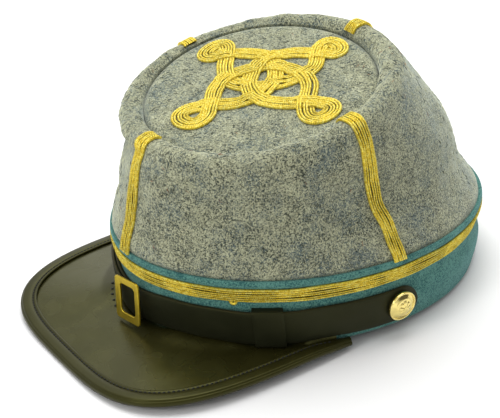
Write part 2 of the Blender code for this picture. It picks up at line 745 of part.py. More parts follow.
def build_strap_buckle(material, parent):
    frame = add_slab(
        "strap_buckle", BUCKLE_WIDTH, BUCKLE_HEIGHT, BUCKLE_THICKNESS, BUCKLE_CORNER, material, parent,
    )
    opening = add_slab(
        "buckle_opening", BUCKLE_OPENING_WIDTH, BUCKLE_OPENING_HEIGHT, 3.0 * BUCKLE_THICKNESS,
        BUCKLE_CORNER, material, parent,
    )
    for piece in (frame, opening):
        piece.location = BUCKLE_CENTRE
        piece.rotation_euler = (BUCKLE_LEAN, -BUCKLE_TURN, 0.0)
    opening.hide_render = True
    opening.display_type = "WIRE"
    cut = frame.modifiers.new("opening", "BOOLEAN")
    cut.operation = "DIFFERENCE"
    cut.solver = "EXACT"
    cut.object = opening


def button_profile():
    """Half the button's section, from the middle of its face to the middle of its back."""
    rim_inside = BUTTON_RADIUS - BUTTON_RIM
    points = [(0.0, BUTTON_HEIGHT)]
    for share in (0.3, 0.6, 0.85):
        points.append((rim_inside * share, BUTTON_HEIGHT - (BUTTON_HEIGHT - BUTTON_EDGE) * share ** 2))
    points += [
        (rim_inside, BUTTON_EDGE),
        (rim_inside + BUTTON_BEVEL, BUTTON_RIM_TOP),
        (BUTTON_RADIUS - BUTTON_BEVEL, BUTTON_RIM_TOP),
        (BUTTON_RADIUS, BUTTON_RIM_TOP - 2.0 * BUTTON_BEVEL),
        (BUTTON_RADIUS - BUTTON_BEVEL, BUTTON_BEVEL),
        (BUTTON_RADIUS - BUTTON_RIM, 0.0),
        (0.0, 0.0),
    ]
    return points


def build_button(name, side, material, parent):
    """Turned about its own Z, then tipped to face the wearer's left or right."""
    built = bmesh.new()
    verts = [built.verts.new((radius, 0.0, height)) for radius, height in button_profile()]
    for first, second in zip(verts, verts[1:]):
        built.edges.new((first, second))
    mesh = bpy.data.meshes.new(name)
    built.to_mesh(mesh)
    built.free()
    button = add_object(name, mesh, material, parent)
    turned = button.modifiers.new("turned", "SCREW")
    turned.steps = BUTTON_STEPS
    turned.render_steps = BUTTON_STEPS
    turned.use_merge_vertices = True
    turned.merge_threshold = 0.00001
    turned.use_normal_calculate = True
    angle = math.radians(BUTTON_ANGLE if side > 0 else 180.0 - BUTTON_ANGLE)
    level = BUTTON_Z / BAND_HEIGHT
    stand_off = strap_lift(angle) + STRAP_THICKNESS + GAP
    button.location = off_cloth(angle, level, stand_off)
    button.rotation_mode = "QUATERNION"
    button.rotation_quaternion = cloth_normal(angle, level).to_track_quat("Z", "Y")


def rest_turn():
    """How far the cap tips so that the visor's front and the back of the hem touch one plane."""
    front = visor_edge(math.pi / 2.0) - Vector((0.0, 0.0, BINDING_RADIUS))
    back = cloth_point(math.pi / 2.0, -1.0)
    return math.atan2(front.z - back.z, back.y - front.y)


def stand_up(parent):
    """Tips the cap to its rest and puts the middle of its footprint on the world's origin."""
    parent.rotation_euler = (rest_turn(), 0.0, 0.0)
    bpy.context.view_layer.update()
    graph = bpy.context.evaluated_depsgraph_get()
    points = []
    for piece in bpy.data.objects:
        if piece.type != "MESH" or piece.hide_render:
            continue
        evaluated = piece.evaluated_get(graph)
        points += [evaluated.matrix_world @ vertex.co for vertex in evaluated.data.vertices]
    low = [min(point[axis] for point in points) for axis in range(3)]
    high = [max(point[axis] for point in points) for axis in range(3)]
    parent.location = (-(low[0] + high[0]) / 2.0, -(low[1] + high[1]) / 2.0, -low[2])
    bpy.context.view_layer.update()


def main():
    clear_scene()
    wool = make_material("grey_wool", WOOL, 0.95, 0.0)
    teal = make_material("teal_wool", TEAL, 0.95, 0.0)
    gold = make_material("gold_braid", GOLD, 0.4, 0.5)
    leather = make_material("black_leather", LEATHER, 0.45, 0.0)
    brass = make_material("brass", BRASS, 0.35, 1.0)
    polished = make_material("polished_gold", POLISHED, 0.15, 1.0)
    stand = bpy.data.objects.new("kepi_stand", None)
    bpy.context.scene.collection.objects.link(stand)
    build_crown_side(wool, stand)
    build_crown_top(wool, stand)
    build_band(teal, stand)
    build_band_braid(gold, stand)
    build_upright_braids(gold, stand)
    build_crown_knot(gold, stand)
    build_visor(leather, stand)
    build_visor_binding(leather, stand)
    build_chin_strap(leather, stand)
    build_strap_tongue(leather, stand)
    build_strap_keeper(leather, stand)
    build_strap_buckle(brass, stand)
    build_button("left_button", 1, polished, stand)
    build_button("right_button", -1, polished, stand)
    stand_up(stand)


main()
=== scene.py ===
"""The looks of a kepi cap: grey wool crown on a teal band, gold soutache braid and knot, black
leather visor and chin strap, brass buckle and two gold buttons. Units are metres.

Every piece is modelled in the cap's own frame, where the seam oval between the crown and the band
lies in the plane Z = 0, +X is the wearer's left, -Y the front and +Z up. One matrix then stands it
on the floor, as the CAD parts stand. A place on the cloth is given by an angle round the head (0 at
the wearer's left, 90 degrees at the back) and a level: -1 at the hem of the band, 0 at the seam,
1 under the rim roll, 2 at the crease inside the roll and 3 at the end of the turned-down cloth.
"""

import math
from collections import namedtuple

import bmesh
import bpy
import numpy as np
from bpy.props import FloatProperty, FloatVectorProperty, IntProperty, PointerProperty
from mathutils import Matrix, Vector


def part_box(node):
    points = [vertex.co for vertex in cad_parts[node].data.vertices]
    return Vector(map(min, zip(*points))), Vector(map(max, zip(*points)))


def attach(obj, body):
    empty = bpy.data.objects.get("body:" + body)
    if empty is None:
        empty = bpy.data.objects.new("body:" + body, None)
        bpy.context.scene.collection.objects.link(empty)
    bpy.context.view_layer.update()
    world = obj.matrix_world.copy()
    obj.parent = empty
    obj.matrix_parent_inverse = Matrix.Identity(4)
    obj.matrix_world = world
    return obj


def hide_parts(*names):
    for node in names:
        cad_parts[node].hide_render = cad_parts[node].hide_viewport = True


bl_info = {
    "name": "Kepi Cap Looks",
    "version": (1, 0, 0),
    "blender": (4, 5, 0),
    "location": "3D View > Sidebar > Kepi",
    "description": "Builds the cloth, braid, leather and metal pieces of a kepi cap",
    "category": "Object",
}

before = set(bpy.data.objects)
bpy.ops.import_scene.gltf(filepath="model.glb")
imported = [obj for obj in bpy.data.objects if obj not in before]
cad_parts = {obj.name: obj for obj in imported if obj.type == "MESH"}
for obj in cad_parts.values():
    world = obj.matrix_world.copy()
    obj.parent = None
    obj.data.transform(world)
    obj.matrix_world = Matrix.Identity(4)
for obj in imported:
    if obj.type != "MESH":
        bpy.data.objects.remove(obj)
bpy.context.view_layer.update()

MM = 0.001
GAP = 0.3 * MM
FULL_TURN = 2.0 * math.pi

# Cloth: the seam, band, rim roll and disc have the sizes of the CAD parts; the rest is finer shape.
SEAM_HALF_WIDTH = 85.0 * MM
SEAM_HALF_LENGTH = 106.0 * MM
CLOTH = 2.0 * MM
WALL_TUCK = 1.3 * MM
WALL_FOOT_LEVEL = -0.012
WELT_MIDDLE, WELT_HALF_HEIGHT = -0.045, 0.05
WELT_RISE = 0.9 * MM
HEM_ROUND_FROM = -0.97
HEM_ROUNDING = 0.7 * MM
BAND_HEIGHT = 39.3 * MM
BAND_DRAW_IN = 2.8 * MM
BAND_SHIFT_BACK = 4.5 * MM
RIM_CENTRE = np.array((0.0, -24.6, 65.4)) * MM
RIM_HALF_WIDTH = 67.0 * MM
RIM_HALF_LENGTH = 65.7 * MM
RIM_TILT = math.radians(14.35)
ROLL_RADIUS = 6.4 * MM
ROLL_START = math.radians(18.0)
LIP_DEPTH = 2.8 * MM
DISC_CENTRE = np.array((0.2, -23.8, 66.7)) * MM
DISC_TILT = math.radians(15.3)
DISC_LEAN = math.radians(3.6)
DISC_EDGE_GAP = 0.35 * MM
DISC_BEND = 1.6 * MM
DISC_BEND_FROM = 0.95
DISC_SWELL_SHARE = 0.6
DISC_WAVES = 20
DISC_WAVE_PACE = 6.0
DISC_FLAT_FROM, DISC_FLAT_TO = 48.0 * MM, 62.0 * MM
FIBRE_RADIUS = 0.11 * MM
TOP_FIBRE_SHARE = 0.3
FIBRE_SEED = 29
FIBRE_LOWEST, FIBRE_HIGHEST = 0.06, 1.85
FIBRE_DISC_REACH = 0.95
FIBRE_BEND = 0.9
WAVE_SEED = 17
SWELL_WAVES = 40
WAVE_FALL = 0.09
BAND_SWELL_SHARE = 0.35
SLOPE_STEP = 0.01
NORMAL_STEP = 0.004
CREASE_HALVINGS = 24

# How far the cloth stands out from the plain shape, in millimetres: a row for each direction round
# the head and a column for each level.
SideRow = namedtuple(
    "SideRow", "angle hem bulge groove welt seam low under_fold fold over_fold high under_rim"
)
SIDE_LEVELS = (-1.0, -0.65, -0.33, -0.10, 0.0, 0.12, 0.25, 0.38, 0.55, 0.75, 0.90, 1.0)
SIDE_ROWS = (
    SideRow(-90, 0.0, 0.0, -0.5, 0.0, 0.0, 0.0, -0.5, -0.7, -0.4, 0.3, 0.7),
    SideRow(-60, 0.0, 0.0, -0.5, 0.0, 0.0, -0.2, -0.7, -1.2, -0.9, 0.0, 0.5),
    SideRow(-30, 0.0, 0.0, -0.5, 0.0, 0.0, -0.8, -1.6, -3.4, -2.7, -0.8, 0.2),
    SideRow(0, 0.0, 0.5, -0.5, 0.0, 0.0, -1.7, -3.2, -7.0, -5.8, -1.9, 0.0),
    SideRow(30, 0.3, 1.8, -0.5, 1.0, 1.1, -0.7, -1.8, -1.3, 0.9, 1.6, 1.0),
    SideRow(60, 0.4, 3.0, -0.8, 2.0, 2.1, 0.2, -0.5, 3.1, 5.9, 4.0, 1.6),
    SideRow(90, 0.3, 2.4, -0.6, 1.4, 1.5, 0.1, -0.4, 2.5, 4.7, 3.2, 1.3),
    SideRow(120, 0.2, 1.8, -0.5, 1.0, 1.1, 0.1, -0.3, 1.9, 3.5, 2.4, 1.0),
    SideRow(150, 0.1, 1.0, -0.5, 0.5, 0.5, -0.5, -1.2, -0.6, 1.0, 1.5, 0.6),
    SideRow(180, 0.0, 0.5, -0.5, 0.0, 0.0, -1.0, -2.0, -3.0, -1.5, 0.5, 0.3),
    SideRow(210, -0.8, -0.8, -1.4, -1.3, -1.4, -2.1, -2.7, -3.7, -2.6, -2.6, -3.0),
    SideRow(240, -1.5, -1.8, -2.5, -2.3, -2.3, -2.8, -3.2, -4.2, -3.3, -4.5, -6.0),
)
ROW_STEP = 30.0
LEVEL_LINE = np.array(SIDE_LEVELS)
OUTWARD = np.array([tuple(row[1:]) + (0.0,) for row in SIDE_ROWS])

# Braid: rows of soutache side by side.
BRAID_WIDTH = 8.0 * MM
SOUTACHE_ROWS = 3
ROW_SHARE = 0.94
GROOVE_SHADE = 0.62
SHOULDER_SHADE = 0.20
BAND_BRAID_TOP = -0.10
BAND_BRAID_BOTTOM = -0.295
NUB_ANGLE = -50.2
NUB_Z = -11.4 * MM
NUB_SIZE = 1.6 * MM
NUB_LIFT = 0.9 * MM
NUB_THREAD = 0.75 * MM
BACK_SHARE = 0.46
THREAD_BULGE = 0.03
PATTERN_SHIFT = 0.37
CHEVRON = 0.9
BRAID_STEP = 0.25 * MM
SWAY_LENGTH = 26.0 * MM
BraidPlace = namedtuple("BraidPlace", "name angle_at_seam angle_at_rim end_level")
UPRIGHT_BRAIDS = (
    BraidPlace("front_braid", -90.0, -91.0, 1.72),
    BraidPlace("left_braid", -1.6, 3.0, 1.76),
    BraidPlace("back_braid", 90.0, 90.0, 1.86),
    BraidPlace("right_braid", 181.6, 178.0, 1.90),
)

# Knot: four loops of one closed braid, in millimetres on the top disc from its centre, first
# towards the wearer's left, then towards the back. Each strand runs from a loop's tip to the next.
KNOT_BRAID_WIDTH = 9.2 * MM
KNOT_LOOP_TURNS = (3.29, 2.75, 2.3, 1.85, 1.35)
KNOT_LOOP_PEAK = 0.77
KNOT_LAYER = 0.85 * MM
KNOT_MOST_LAYERS = 2.5
KNOT_REACH_SHARE = 0.6
KNOT_NEAR_ALONG = 24.0 * MM
KNOT_RAMP = 0.9 * MM
KNOT_CURVE_STEPS = 40
KNOT_PASSES = 4
KnotLoop = namedtuple("KnotLoop", "tip neck half_width")
KNOT_LOOPS = {
    "left": KnotLoop((45.8, 4.5), (29.8, 4.5), 6.5),
    "back": KnotLoop((2.2, 48.8), (0.2, 37.5), 6.0),
    "right": KnotLoop((-51.6, 5.0), (-39.0, 7.2), 6.7),
    "front": KnotLoop((-6.6, -44.0), (-7.6, -26.5), 6.8),
}
KnotStrand = namedtuple("KnotStrand", "start end rank places")
KNOT_STRANDS = (
    KnotStrand("left", "back", 3, (
        (19.6, -3.4), (7.0, -7.8), (-3.9, -4.8), (-13.7, 4.9), (-17.4, 17.0), (-11.5, 29.5),
    )),
    KnotStrand("back", "right", 0, (
        (8.2, 28.0), (9.2, 19.0), (5.0, 6.5), (-5.0, -3.8), (-17.0, -7.2), (-29.5, -1.2),
    )),
    KnotStrand("right", "front", 1, (
        (-30.0, 15.0), (-18.0, 19.0), (-5.0, 13.0), (3.0, 4.5), (5.0, -6.0), (1.0, -17.5),
    )),
    KnotStrand("front", "left", 2, (
        (-17.2, -16.2), (-20.8, -7.0), (-19.5, 2.0), (-12.0, 14.0), (2.0, 19.7), (17.5, 17.0),
    )),
)
# At this neck the strand that is lower elsewhere lies on top.
SWAPPED_NECK = "back"
NECK_REACH = 14.0 * MM

# Visor and its rolled binding.
VISOR_HALF_WIDTH = 80.6 * MM
VISOR_LENGTH = 118.7 * MM
VISOR_ROOT_Y = -26.5 * MM
VISOR_SQUARENESS = 3.87
VISOR_EDGE_Z = -38.4 * MM
VISOR_DROP = math.tan(math.radians(4.4))
VISOR_DROP_START_Y = -40.0 * MM
VISOR_CORNER_RISE = 4.7 * MM
VISOR_END_SINK = 1.5 * MM
VISOR_END_LENGTH = 32.0 * MM
VISOR_THICKNESS = 1.8 * MM
VISOR_PLATE_START = math.radians(6.0)
VISOR_HEM_START = math.radians(22.0)
VISOR_HEM_FRONT_Z = -39.3 * MM
VISOR_HEM_SIDE_RISE = 1.9 * MM
VISOR_HEM_END_SINK = 1.0 * MM
VISOR_HEM_RISE_FROM, VISOR_HEM_RISE_TO = 6.0, 22.0
VISOR_HEM_SINK_FROM, VISOR_HEM_SINK_TO = 50.0, 68.0
VISOR_TUCK = 0.6 * MM
# Stitches that hold the visor, in millimetres in the cap's frame, from the band outwards.
VisorStitch = namedtuple("VisorStitch", "inner outer")
VISOR_STITCHES = (
    VisorStitch((-30.8, -97.1, -36.3), (-32.4, -98.0, -36.7)),
    VisorStitch((-26.9, -99.6, -37.0), (-28.2, -100.5, -37.3)),
    VisorStitch((-23.3, -101.6, -37.8), (-24.6, -102.7, -38.1)),
    VisorStitch((-18.9, -103.2, -38.6), (-20.1, -104.3, -38.8)),
    VisorStitch((-14.5, -104.9, -39.3), (-15.6, -106.0, -39.4)),
)
VISOR_LIP = 0.2 * MM
VISOR_LIP_SIDE_RISE = 1.7 * MM
VISOR_LIP_SHARE = 0.25
VISOR_LIP_FROM_KEEPER = 12.0
VISOR_LEVEL_SHARE = 0.10
BINDING_START = math.radians(1.2)
BINDING_WIDTH = 8.5 * MM
BINDING_END_WIDTH = 3.5 * MM
BINDING_UNDER_WIDTH = 6.0 * MM
BINDING_LEATHER = 1.0 * MM
BINDING_RADIUS = 2.2 * MM
BINDING_END_RADIUS = 1.75 * MM
BINDING_ROLL_TAPER = 14.0 * MM
BINDING_WIDTH_TAPER = 24.0 * MM
BINDING_CREASE = 0.35 * MM
BINDING_CREASE_TURN = math.radians(132.0)
BINDING_CREASE_SPREAD = 0.16
BINDING_GROOVE_INSET = 1.9 * MM
BINDING_GROOVE_HALF = 0.55 * MM
BINDING_GROOVE = 0.5 * MM
STITCHES_START = math.radians(9.0)
STITCH_RADIUS = 0.36 * MM
STITCH_SINK = 0.22 * MM
VISOR_STITCH_RADIUS = 0.5 * MM
VISOR_RIPPLE = 0.07 * MM
VISOR_FIRST_WAVE, VISOR_LAST_WAVE = 10, 26
VISOR_SIDE_PACE, VISOR_FRONT_PACE = 9.0, 5.0

# Chin strap, its second layer, keeper, buckle and buttons.
STRAP_WIDTH = 18.5 * MM
STRAP_THICKNESS = 1.8 * MM
STRAP_Z = -26.0 * MM
STRAP_FRONT_DIP = 2.6 * MM
STRAP_DIP_REACH = 20.0
STRAP_END_ANGLE = 4.0
STRAP_ROUNDING = 0.55 * MM
STRAP_BACK_ROUNDING = 0.25 * MM
STRAP_FULLNESS = 0.06 * MM
STRAP_TIP_SHARE = 0.12
CUT_EDGE_REACH = 0.45 * MM
CUT_EDGE_FACE = 0.3 * MM
TONGUE_THICKNESS = 1.6 * MM
TONGUE_START_ANGLE = -86.2
TONGUE_END_ANGLE = -128.0
KEEPER_ANGLE = -40.8
KEEPER_HALF_ANGLE = 4.4
KEEPER_LEATHER = 1.0 * MM
KEEPER_LIFT_FROM, KEEPER_LIFT_TO = 5.0, 17.0
KEEPER_CORNER = 0.9 * MM
KEEPER_INNER_CORNER = 0.25 * MM
KEEPER_EDGE_THINNING = 0.25 * MM
KEEPER_SECTIONS = 24
KEEPER_BACK_GAP = 0.05 * MM
# The middle of the buckle's solid, which places the cap on the floor, and of the buckle built here.
BUCKLE_SOLID_CENTRE = Vector((1.2 * MM, -106.7 * MM, -26.7 * MM))
BUCKLE_CENTRE = np.array((3.1, -108.1, -26.3)) * MM
BUCKLE_WIDTH = 20.2 * MM
BUCKLE_HEIGHT = 22.7 * MM
BUCKLE_OPENING_WIDTH = 12.6 * MM
BUCKLE_OPENING_HEIGHT = 15.4 * MM
BUCKLE_OPENING_PLACE = np.array((0.6, 0.4)) * MM
BUCKLE_THICKNESS = 1.2 * MM
BUCKLE_CORNER = 2.2 * MM
BUCKLE_BEVEL = 0.28 * MM
BUCKLE_TURN = math.radians(6.8)
BUCKLE_LEAN = math.radians(-4.0)
BUCKLE_YAW = math.radians(4.3)
BUTTON_RADIUS = 8.0 * MM
BUTTON_HEIGHT = 4.2 * MM
BUTTON_RIM = 1.1 * MM
BUTTON_EDGE = 1.9 * MM
BUTTON_RIM_TOP = 2.3 * MM
BUTTON_EDGE_ROUNDING = 0.35 * MM
BUTTON_ANGLE = -2.4
BUTTON_Z = -25.4 * MM
ROSETTE_REACH = 0.58
ROSETTE_RELIEF = 0.45 * MM
ROSETTE_CORE = 1.15 * MM
ROSETTE_CORE_RELIEF = 0.5 * MM
BUTTON_RING_PLACE = 0.72
BUTTON_RING = 0.22 * MM

# Camera: its place and directions in the cap's frame, from the photograph's vanishing lines.
CAMERA_PLACE = np.array((433.19, -343.34, 270.97)) * MM
CAMERA_BACK = np.array((0.7235, -0.5219, 0.4518))
CAMERA_RIGHT = np.array((0.5852, 0.8109, -0.0004))
PICTURE_WIDTH = 500
FOCAL_LENGTH_IN_PIXELS = 1142.3
SENSOR_WIDTH = 36.0

# Stage: the room's direction and edges, as cosines, and the lamps, with sizes and places in metres.
# A lamp's power is the stage setting of that name.
ROOM_DIRECTION = (0.79, 0.45, 0.20)
ROOM_EDGE, ROOM_MIDDLE = 0.78, 0.93
FLOOR_HALF = 3.0
LAMP_TARGET = Vector((0.0, 0.0, 0.05))
StageLamp = namedtuple("StageLamp", "name power size place")
STAGE_LAMPS = (
    StageLamp("overhead_lamp", "lamp", 1.1, (-0.25, 0.15, 1.15)),
    StageLamp("front_lamp", "front_lamp", 0.22, (0.12, -0.72, 0.46)),
    StageLamp("backdrop_lamp", "backdrop", 1.2, (-1.05, 0.80, 0.72)),
)

# Finishes: the sizes of their lumps, flecks and relief, and the values that set like ones apart.
CLOTH_CLOUD = 9.0 * MM
WOOL_GRAIN = 0.70 * MM
WOOL_CLUMP = 1.1 * MM
WOOL_FLECK = 0.9 * MM
WOOL_DRIFT = 14.0 * MM
WOOL_CURL = 2.6 * MM
WOOL_RELIEF = 0.5 * MM
DARK_FIBRES_FROM, BLUE_FIBRES_FROM, RUST_FIBRES_FROM = 0.74, 0.86, 0.994
TEAL_GRAIN = 0.75 * MM
TEAL_LINT = 3.0 * MM
TEAL_RELIEF = 0.35 * MM
LINT_COLOUR = (0.22, 0.38, 0.30, 1.0)
THREAD_SLANT = 1.1 * math.pi
THREAD_JITTER = 2.2 * MM
GOLD_FLECK = 0.85 * MM
GOLD_PATCH = 3.0 * MM
# Size and lane width of the painted highlight streaks on the gold.
GOLD_GLINT = 0.65 * MM
GLINT_LANE = 1.3 * MM
# Size of the patches where painted shade darkens the lines between the braid's rows.
ROW_SHADE_PARTING = 16.0 * MM
GOLD_RELIEF = 0.22 * MM
# A gold look: how strong the painted groove shade is, how strong the flecks and painted glints are,
# how long the glints run, and how metallic the thread is.
GoldLook = namedtuple("GoldLook", "groove_depth flecking glinting glint_length metal")
KNOT_GOLD = GoldLook(0.70, 0.45, 0.8, 2.0, 0.3)
SIDE_GOLD = GoldLook(1.0, 0.65, 0.75, 3.0, 0.6)
LEATHER_PEBBLE = 0.9 * MM
LEATHER_GRAIN = 0.5 * MM
LEATHER_GRAIN_RELIEF = 0.12 * MM
LEATHER_FOLD = 6.0 * MM
LEATHER_FOLD_RELIEF = 1.2 * MM
LEATHER_WEAR = 16.0 * MM
LEATHER_GLOSS_PATCH = 12.0 * MM
LeatherLook = namedtuple("LeatherLook", "gloss shine wrinkle")
VISOR_LOOK = LeatherLook(0.24, 0.60, 1.0)
BINDING_LOOK = LeatherLook(0.34, 0.34, 0.6)
STRAP_LOOK = LeatherLook(0.42, 0.19, 0.5)
THREAD_WAX = 0.6 * MM
THREAD_BLACK = (0.001, 0.002, 0.001, 1.0)
THREAD_PALE = (0.008, 0.009, 0.006, 1.0)
BRASS_PATCH = 4.0 * MM
GILT_SMEAR = 2.5 * MM

# Inputs and output of the node that mixes two colours, which share their names with others.
MIX_FIRST_COLOUR, MIX_SECOND_COLOUR = 6, 7
MIX_COLOUR = 2


def colour(name, description, red, green, blue):
    """A colour that a user may change."""
    return FloatVectorProperty(
        name=name, description=description, subtype="COLOR", size=4,
        default=(red, green, blue, 1.0),
    )


def length(name, description, default, least=0.0):
    """A length in metres that a user may change."""
    return FloatProperty(
        name=name, description=description, default=default, min=least, unit="LENGTH",
    )


def amount(name, description, default, most=1000.0):
    """A plain number, never below 0, that a user may change."""
    return FloatProperty(name=name, description=description, default=default, min=0.0, max=most)


class ClothSettings(bpy.types.PropertyGroup):
    """Colours and softness of the grey wool and the teal band."""

    light: colour("Light wool", "Pale fibres of the heather grey wool", 0.46, 0.472, 0.312)
    warm: colour("Warm wool", "Beige flecks among the pale fibres", 0.47, 0.44, 0.25)
    dark: colour("Dark wool", "Dark fibres of the heather grey wool", 0.022, 0.028, 0.020)
    blue: colour("Blue wool", "Slate blue flecks in the heather grey wool", 0.070, 0.110, 0.125)
    teal: colour("Teal", "Colour of the band's felt", 0.108, 0.262, 0.218)
    teal_shade: colour("Teal shade", "Darker fibres of the band's felt", 0.014, 0.078, 0.078)
    pale_fibre: colour("Pale fibre", "Colour of the loose pale fibres", 0.58, 0.59, 0.42)
    rust_fibre: colour("Rust fibre", "Colour of the rare rust fibres", 0.34, 0.14, 0.07)
    fibres: IntProperty(
        name="Fibres", description="How many loose fibres lie on the wool", default=13500, min=10,
    )
    fibre_length: length("Fibre length", "Length of the longest loose fibres", 3.6 * MM, 0.5 * MM)
    unevenness: length("Unevenness", "How far the soft wool swells and sinks", 0.4 * MM)


class BraidSettings(bpy.types.PropertyGroup):
    """Size and colour of the gold soutache."""

    height: length("Height", "Thickness of the soutache on its ridges", 1.25 * MM, 0.5 * MM)
    groove: length("Groove", "Depth of the groove between the two ridges", 0.65 * MM)
    thread_pitch: length(
        "Thread pitch", "Distance from one thread of the soutache to the next", 1.0 * MM, 0.5 * MM,
    )
    thread_relief: length("Thread relief", "How far each thread stands out", 0.14 * MM)
    sway: length("Sway", "How far the soutache strays from its line", 0.09 * MM)
    # Painted light and shade: bright gold on the threads that catch the light and deep gold between
    # them, mixed with random patches of tone.
    bright: colour("Bright gold", "Colour of the threads that catch the light", 1.0, 0.80, 0.10)
    deep: colour("Deep gold", "Colour between the threads", 0.64, 0.43, 0.018)
    # Painted highlight: the glint colour is painted in streaks along the threads.
    glint: colour("Glint", "Colour of the glints painted on the threads", 1.0, 0.93, 0.27)
    # Painted shade: the groove colour darkens the soutache's grooves and the lines between its
    # rows.
    shadow: colour("Painted groove shade", "Colour of the shade painted deep in the soutache's grooves", 0.055, 0.038, 0.003)


class LeatherSettings(bpy.types.PropertyGroup):
    """Colours and stitching of the visor, binding and straps."""

    black: colour("Black leather", "Colour of the strap's leather", 0.010, 0.011, 0.006)
    olive: colour("Visor leather", "Colour of the visor's olive black leather", 0.014, 0.013, 0.003)
    cut_edge: colour("Cut edge", "Tan colour of the strap's raw edge", 0.032, 0.027, 0.013)
    stitch_length: length("Stitch length", "Length of a stitch on the binding", 1.5 * MM, 0.5 * MM)
    stitch_gap: length("Stitch gap", "Gap between two stitches on the binding", 0.75 * MM, 0.1 * MM)


class MetalSettings(bpy.types.PropertyGroup):
    """Colours of the buckle and the buttons, and the buttons' rosette."""

    brass: colour("Brass", "Colour of the buckle", 0.66, 0.49, 0.045)
    gilt: colour("Gilt", "Colour of the polished buttons", 0.93, 0.76, 0.27)
    petals: IntProperty(
        name="Petals", description="Petals of the buttons' rosette", default=8, min=3, max=16,
    )


class StageSettings(bpy.types.PropertyGroup):
    """Floor and light."""

    floor: colour("Floor", "Colour of the pale floor", 0.86, 0.86, 0.86)
    sky: amount("Surrounding light", "Strength of the even light from all round", 0.71)
    room: amount("Room", "Brightness of the room as a share of the light all round", 0.15, 1.0)
    lamp: amount("Lamp", "Power of the broad lamp overhead, in watts", 13.0)
    backdrop: amount("Backdrop lamp", "Power of the broad lamp behind the cap, in watts", 2.8)
    front_lamp: amount("Front lamp", "Power of the small lamp in front, in watts", 1.0)


def unit(vectors):
    """The vectors at length 1."""
    return vectors / np.linalg.norm(vectors, axis=-1, keepdims=True)


def points_at(x, y, z):
    """Points from three coordinates, each one a number or an array."""
    return np.stack(np.broadcast_arrays(np.asarray(x, float), y, z), -1)


def smooth_step(value):
    """From 0 to 1 as the value goes from 0 to 1, level at both ends."""
    held = np.clip(value, 0.0, 1.0)
    return held * held * (3.0 - 2.0 * held)


def part_way(value, start, end):
    """How far the value is from start to end, eased at both."""
    return smooth_step((value - start) / (end - start))


def ease(first, last, start, end, t):
    """From first to last as t runs from 0 to 1, with the slope start at first and end at last."""
    rise = last - first
    return first + t * (start + t * ((3 * rise - 2 * start - end) + t * (start + end - 2 * rise)))


def table_value(row, level):
    """A smooth curve up one row of the table, in millimetres."""
    columns = np.arange(len(LEVEL_LINE))
    low, high = np.maximum(columns - 1, 0), np.minimum(columns + 1, columns[-1])
    slopes = (OUTWARD[:, high] - OUTWARD[:, low]) / (LEVEL_LINE[high] - LEVEL_LINE[low])
    held = np.clip(level, LEVEL_LINE[0], LEVEL_LINE[-1])
    i = np.clip(np.searchsorted(LEVEL_LINE, held, side="right") - 1, 0, len(LEVEL_LINE) - 2)
    span = LEVEL_LINE[i + 1] - LEVEL_LINE[i]
    return ease(
        OUTWARD[row, i], OUTWARD[row, i + 1], slopes[row, i] * span, slopes[row, i + 1] * span,
        (held - LEVEL_LINE[i]) / span,
    )


def bulge(angle, level):
    """How far the cloth stands out at these places, in metres."""
    turn = (np.degrees(angle) - SIDE_ROWS[0].angle) % 360.0 / ROW_STEP
    base = np.floor(turn).astype(int)
    near = [table_value((base + step) % len(SIDE_ROWS), level) for step in (-1, 0, 1, 2)]
    before, here, after, beyond = near
    return MM * ease(here, after, (after - before) / 2.0, (beyond - here) / 2.0, turn - base)


def oval_outward(angle):
    """The level direction square to the seam oval."""
    return unit(points_at(np.cos(angle) / SEAM_HALF_WIDTH, np.sin(angle) / SEAM_HALF_LENGTH, 0.0))


def roll_point(angle, turn):
    """A place on the rim roll and the direction out of the roll there."""
    side, back = np.cos(angle), np.sin(angle)
    level_out = points_at(side, back * math.cos(RIM_TILT), back * math.sin(RIM_TILT))
    upward = np.array((0.0, -math.sin(RIM_TILT), math.cos(RIM_TILT)))
    reach = points_at(
        RIM_HALF_WIDTH * side, RIM_HALF_LENGTH * back * math.cos(RIM_TILT),
        RIM_HALF_LENGTH * back * math.sin(RIM_TILT),
    )
    out = level_out * np.cos(turn)[..., None] + upward * np.sin(turn)[..., None]
    return RIM_CENTRE + reach + ROLL_RADIUS * out, out


def disc_axes():
    """The top disc's sideways, backward and upward directions."""
    normal = np.array((math.sin(DISC_LEAN), -math.sin(DISC_TILT), 0.0))
    normal[2] = math.sqrt(1.0 - normal[0] ** 2 - normal[1] ** 2)
    sideways = unit(np.array((1.0, 0.0, 0.0)) - normal[0] * normal)
    return sideways, np.cross(normal, sideways), normal


def height_over_disc(point):
    """How far a place is above the top disc's plane."""
    return (point - DISC_CENTRE) @ disc_axes()[2]


def crease(angle):
    """How far round the roll the cloth turns until it meets the disc, and how far it then drops."""
    low, high = np.full(angle.shape, math.pi / 2.0), np.full(angle.shape, math.pi)
    below = height_over_disc(roll_point(angle, high)[0])
    for _ in range(CREASE_HALVINGS):
        middle = (low + high) / 2.0
        over = height_over_disc(roll_point(angle, middle)[0]) > 0.0
        low, high = np.where(over, middle, low), np.where(over, high, middle)
    return np.where(below > 0.0, math.pi, low), np.maximum(0.0, below)


def soft_waves():
    """Seeded waves round the head and up the cloth, whose sum makes its soft swells and hollows."""
    random = np.random.default_rng(WAVE_SEED)
    rounds = random.integers(3, 30, SWELL_WAVES)
    climbs = random.uniform(-20.0, 20.0, SWELL_WAVES)
    sizes = 1.0 / (1.0 + WAVE_FALL * rounds + WAVE_FALL * np.abs(climbs))
    starts = random.uniform(0.0, FULL_TURN, SWELL_WAVES)
    return list(zip(rounds, climbs, starts, sizes / np.linalg.norm(sizes)))


SOFT_WAVES = soft_waves()


def sum_of_waves(first, second, waves):
    """The sum of seeded waves that run along two directions."""
    return sum(size * np.cos(n * first + m * second + start) for n, m, start, size in waves)


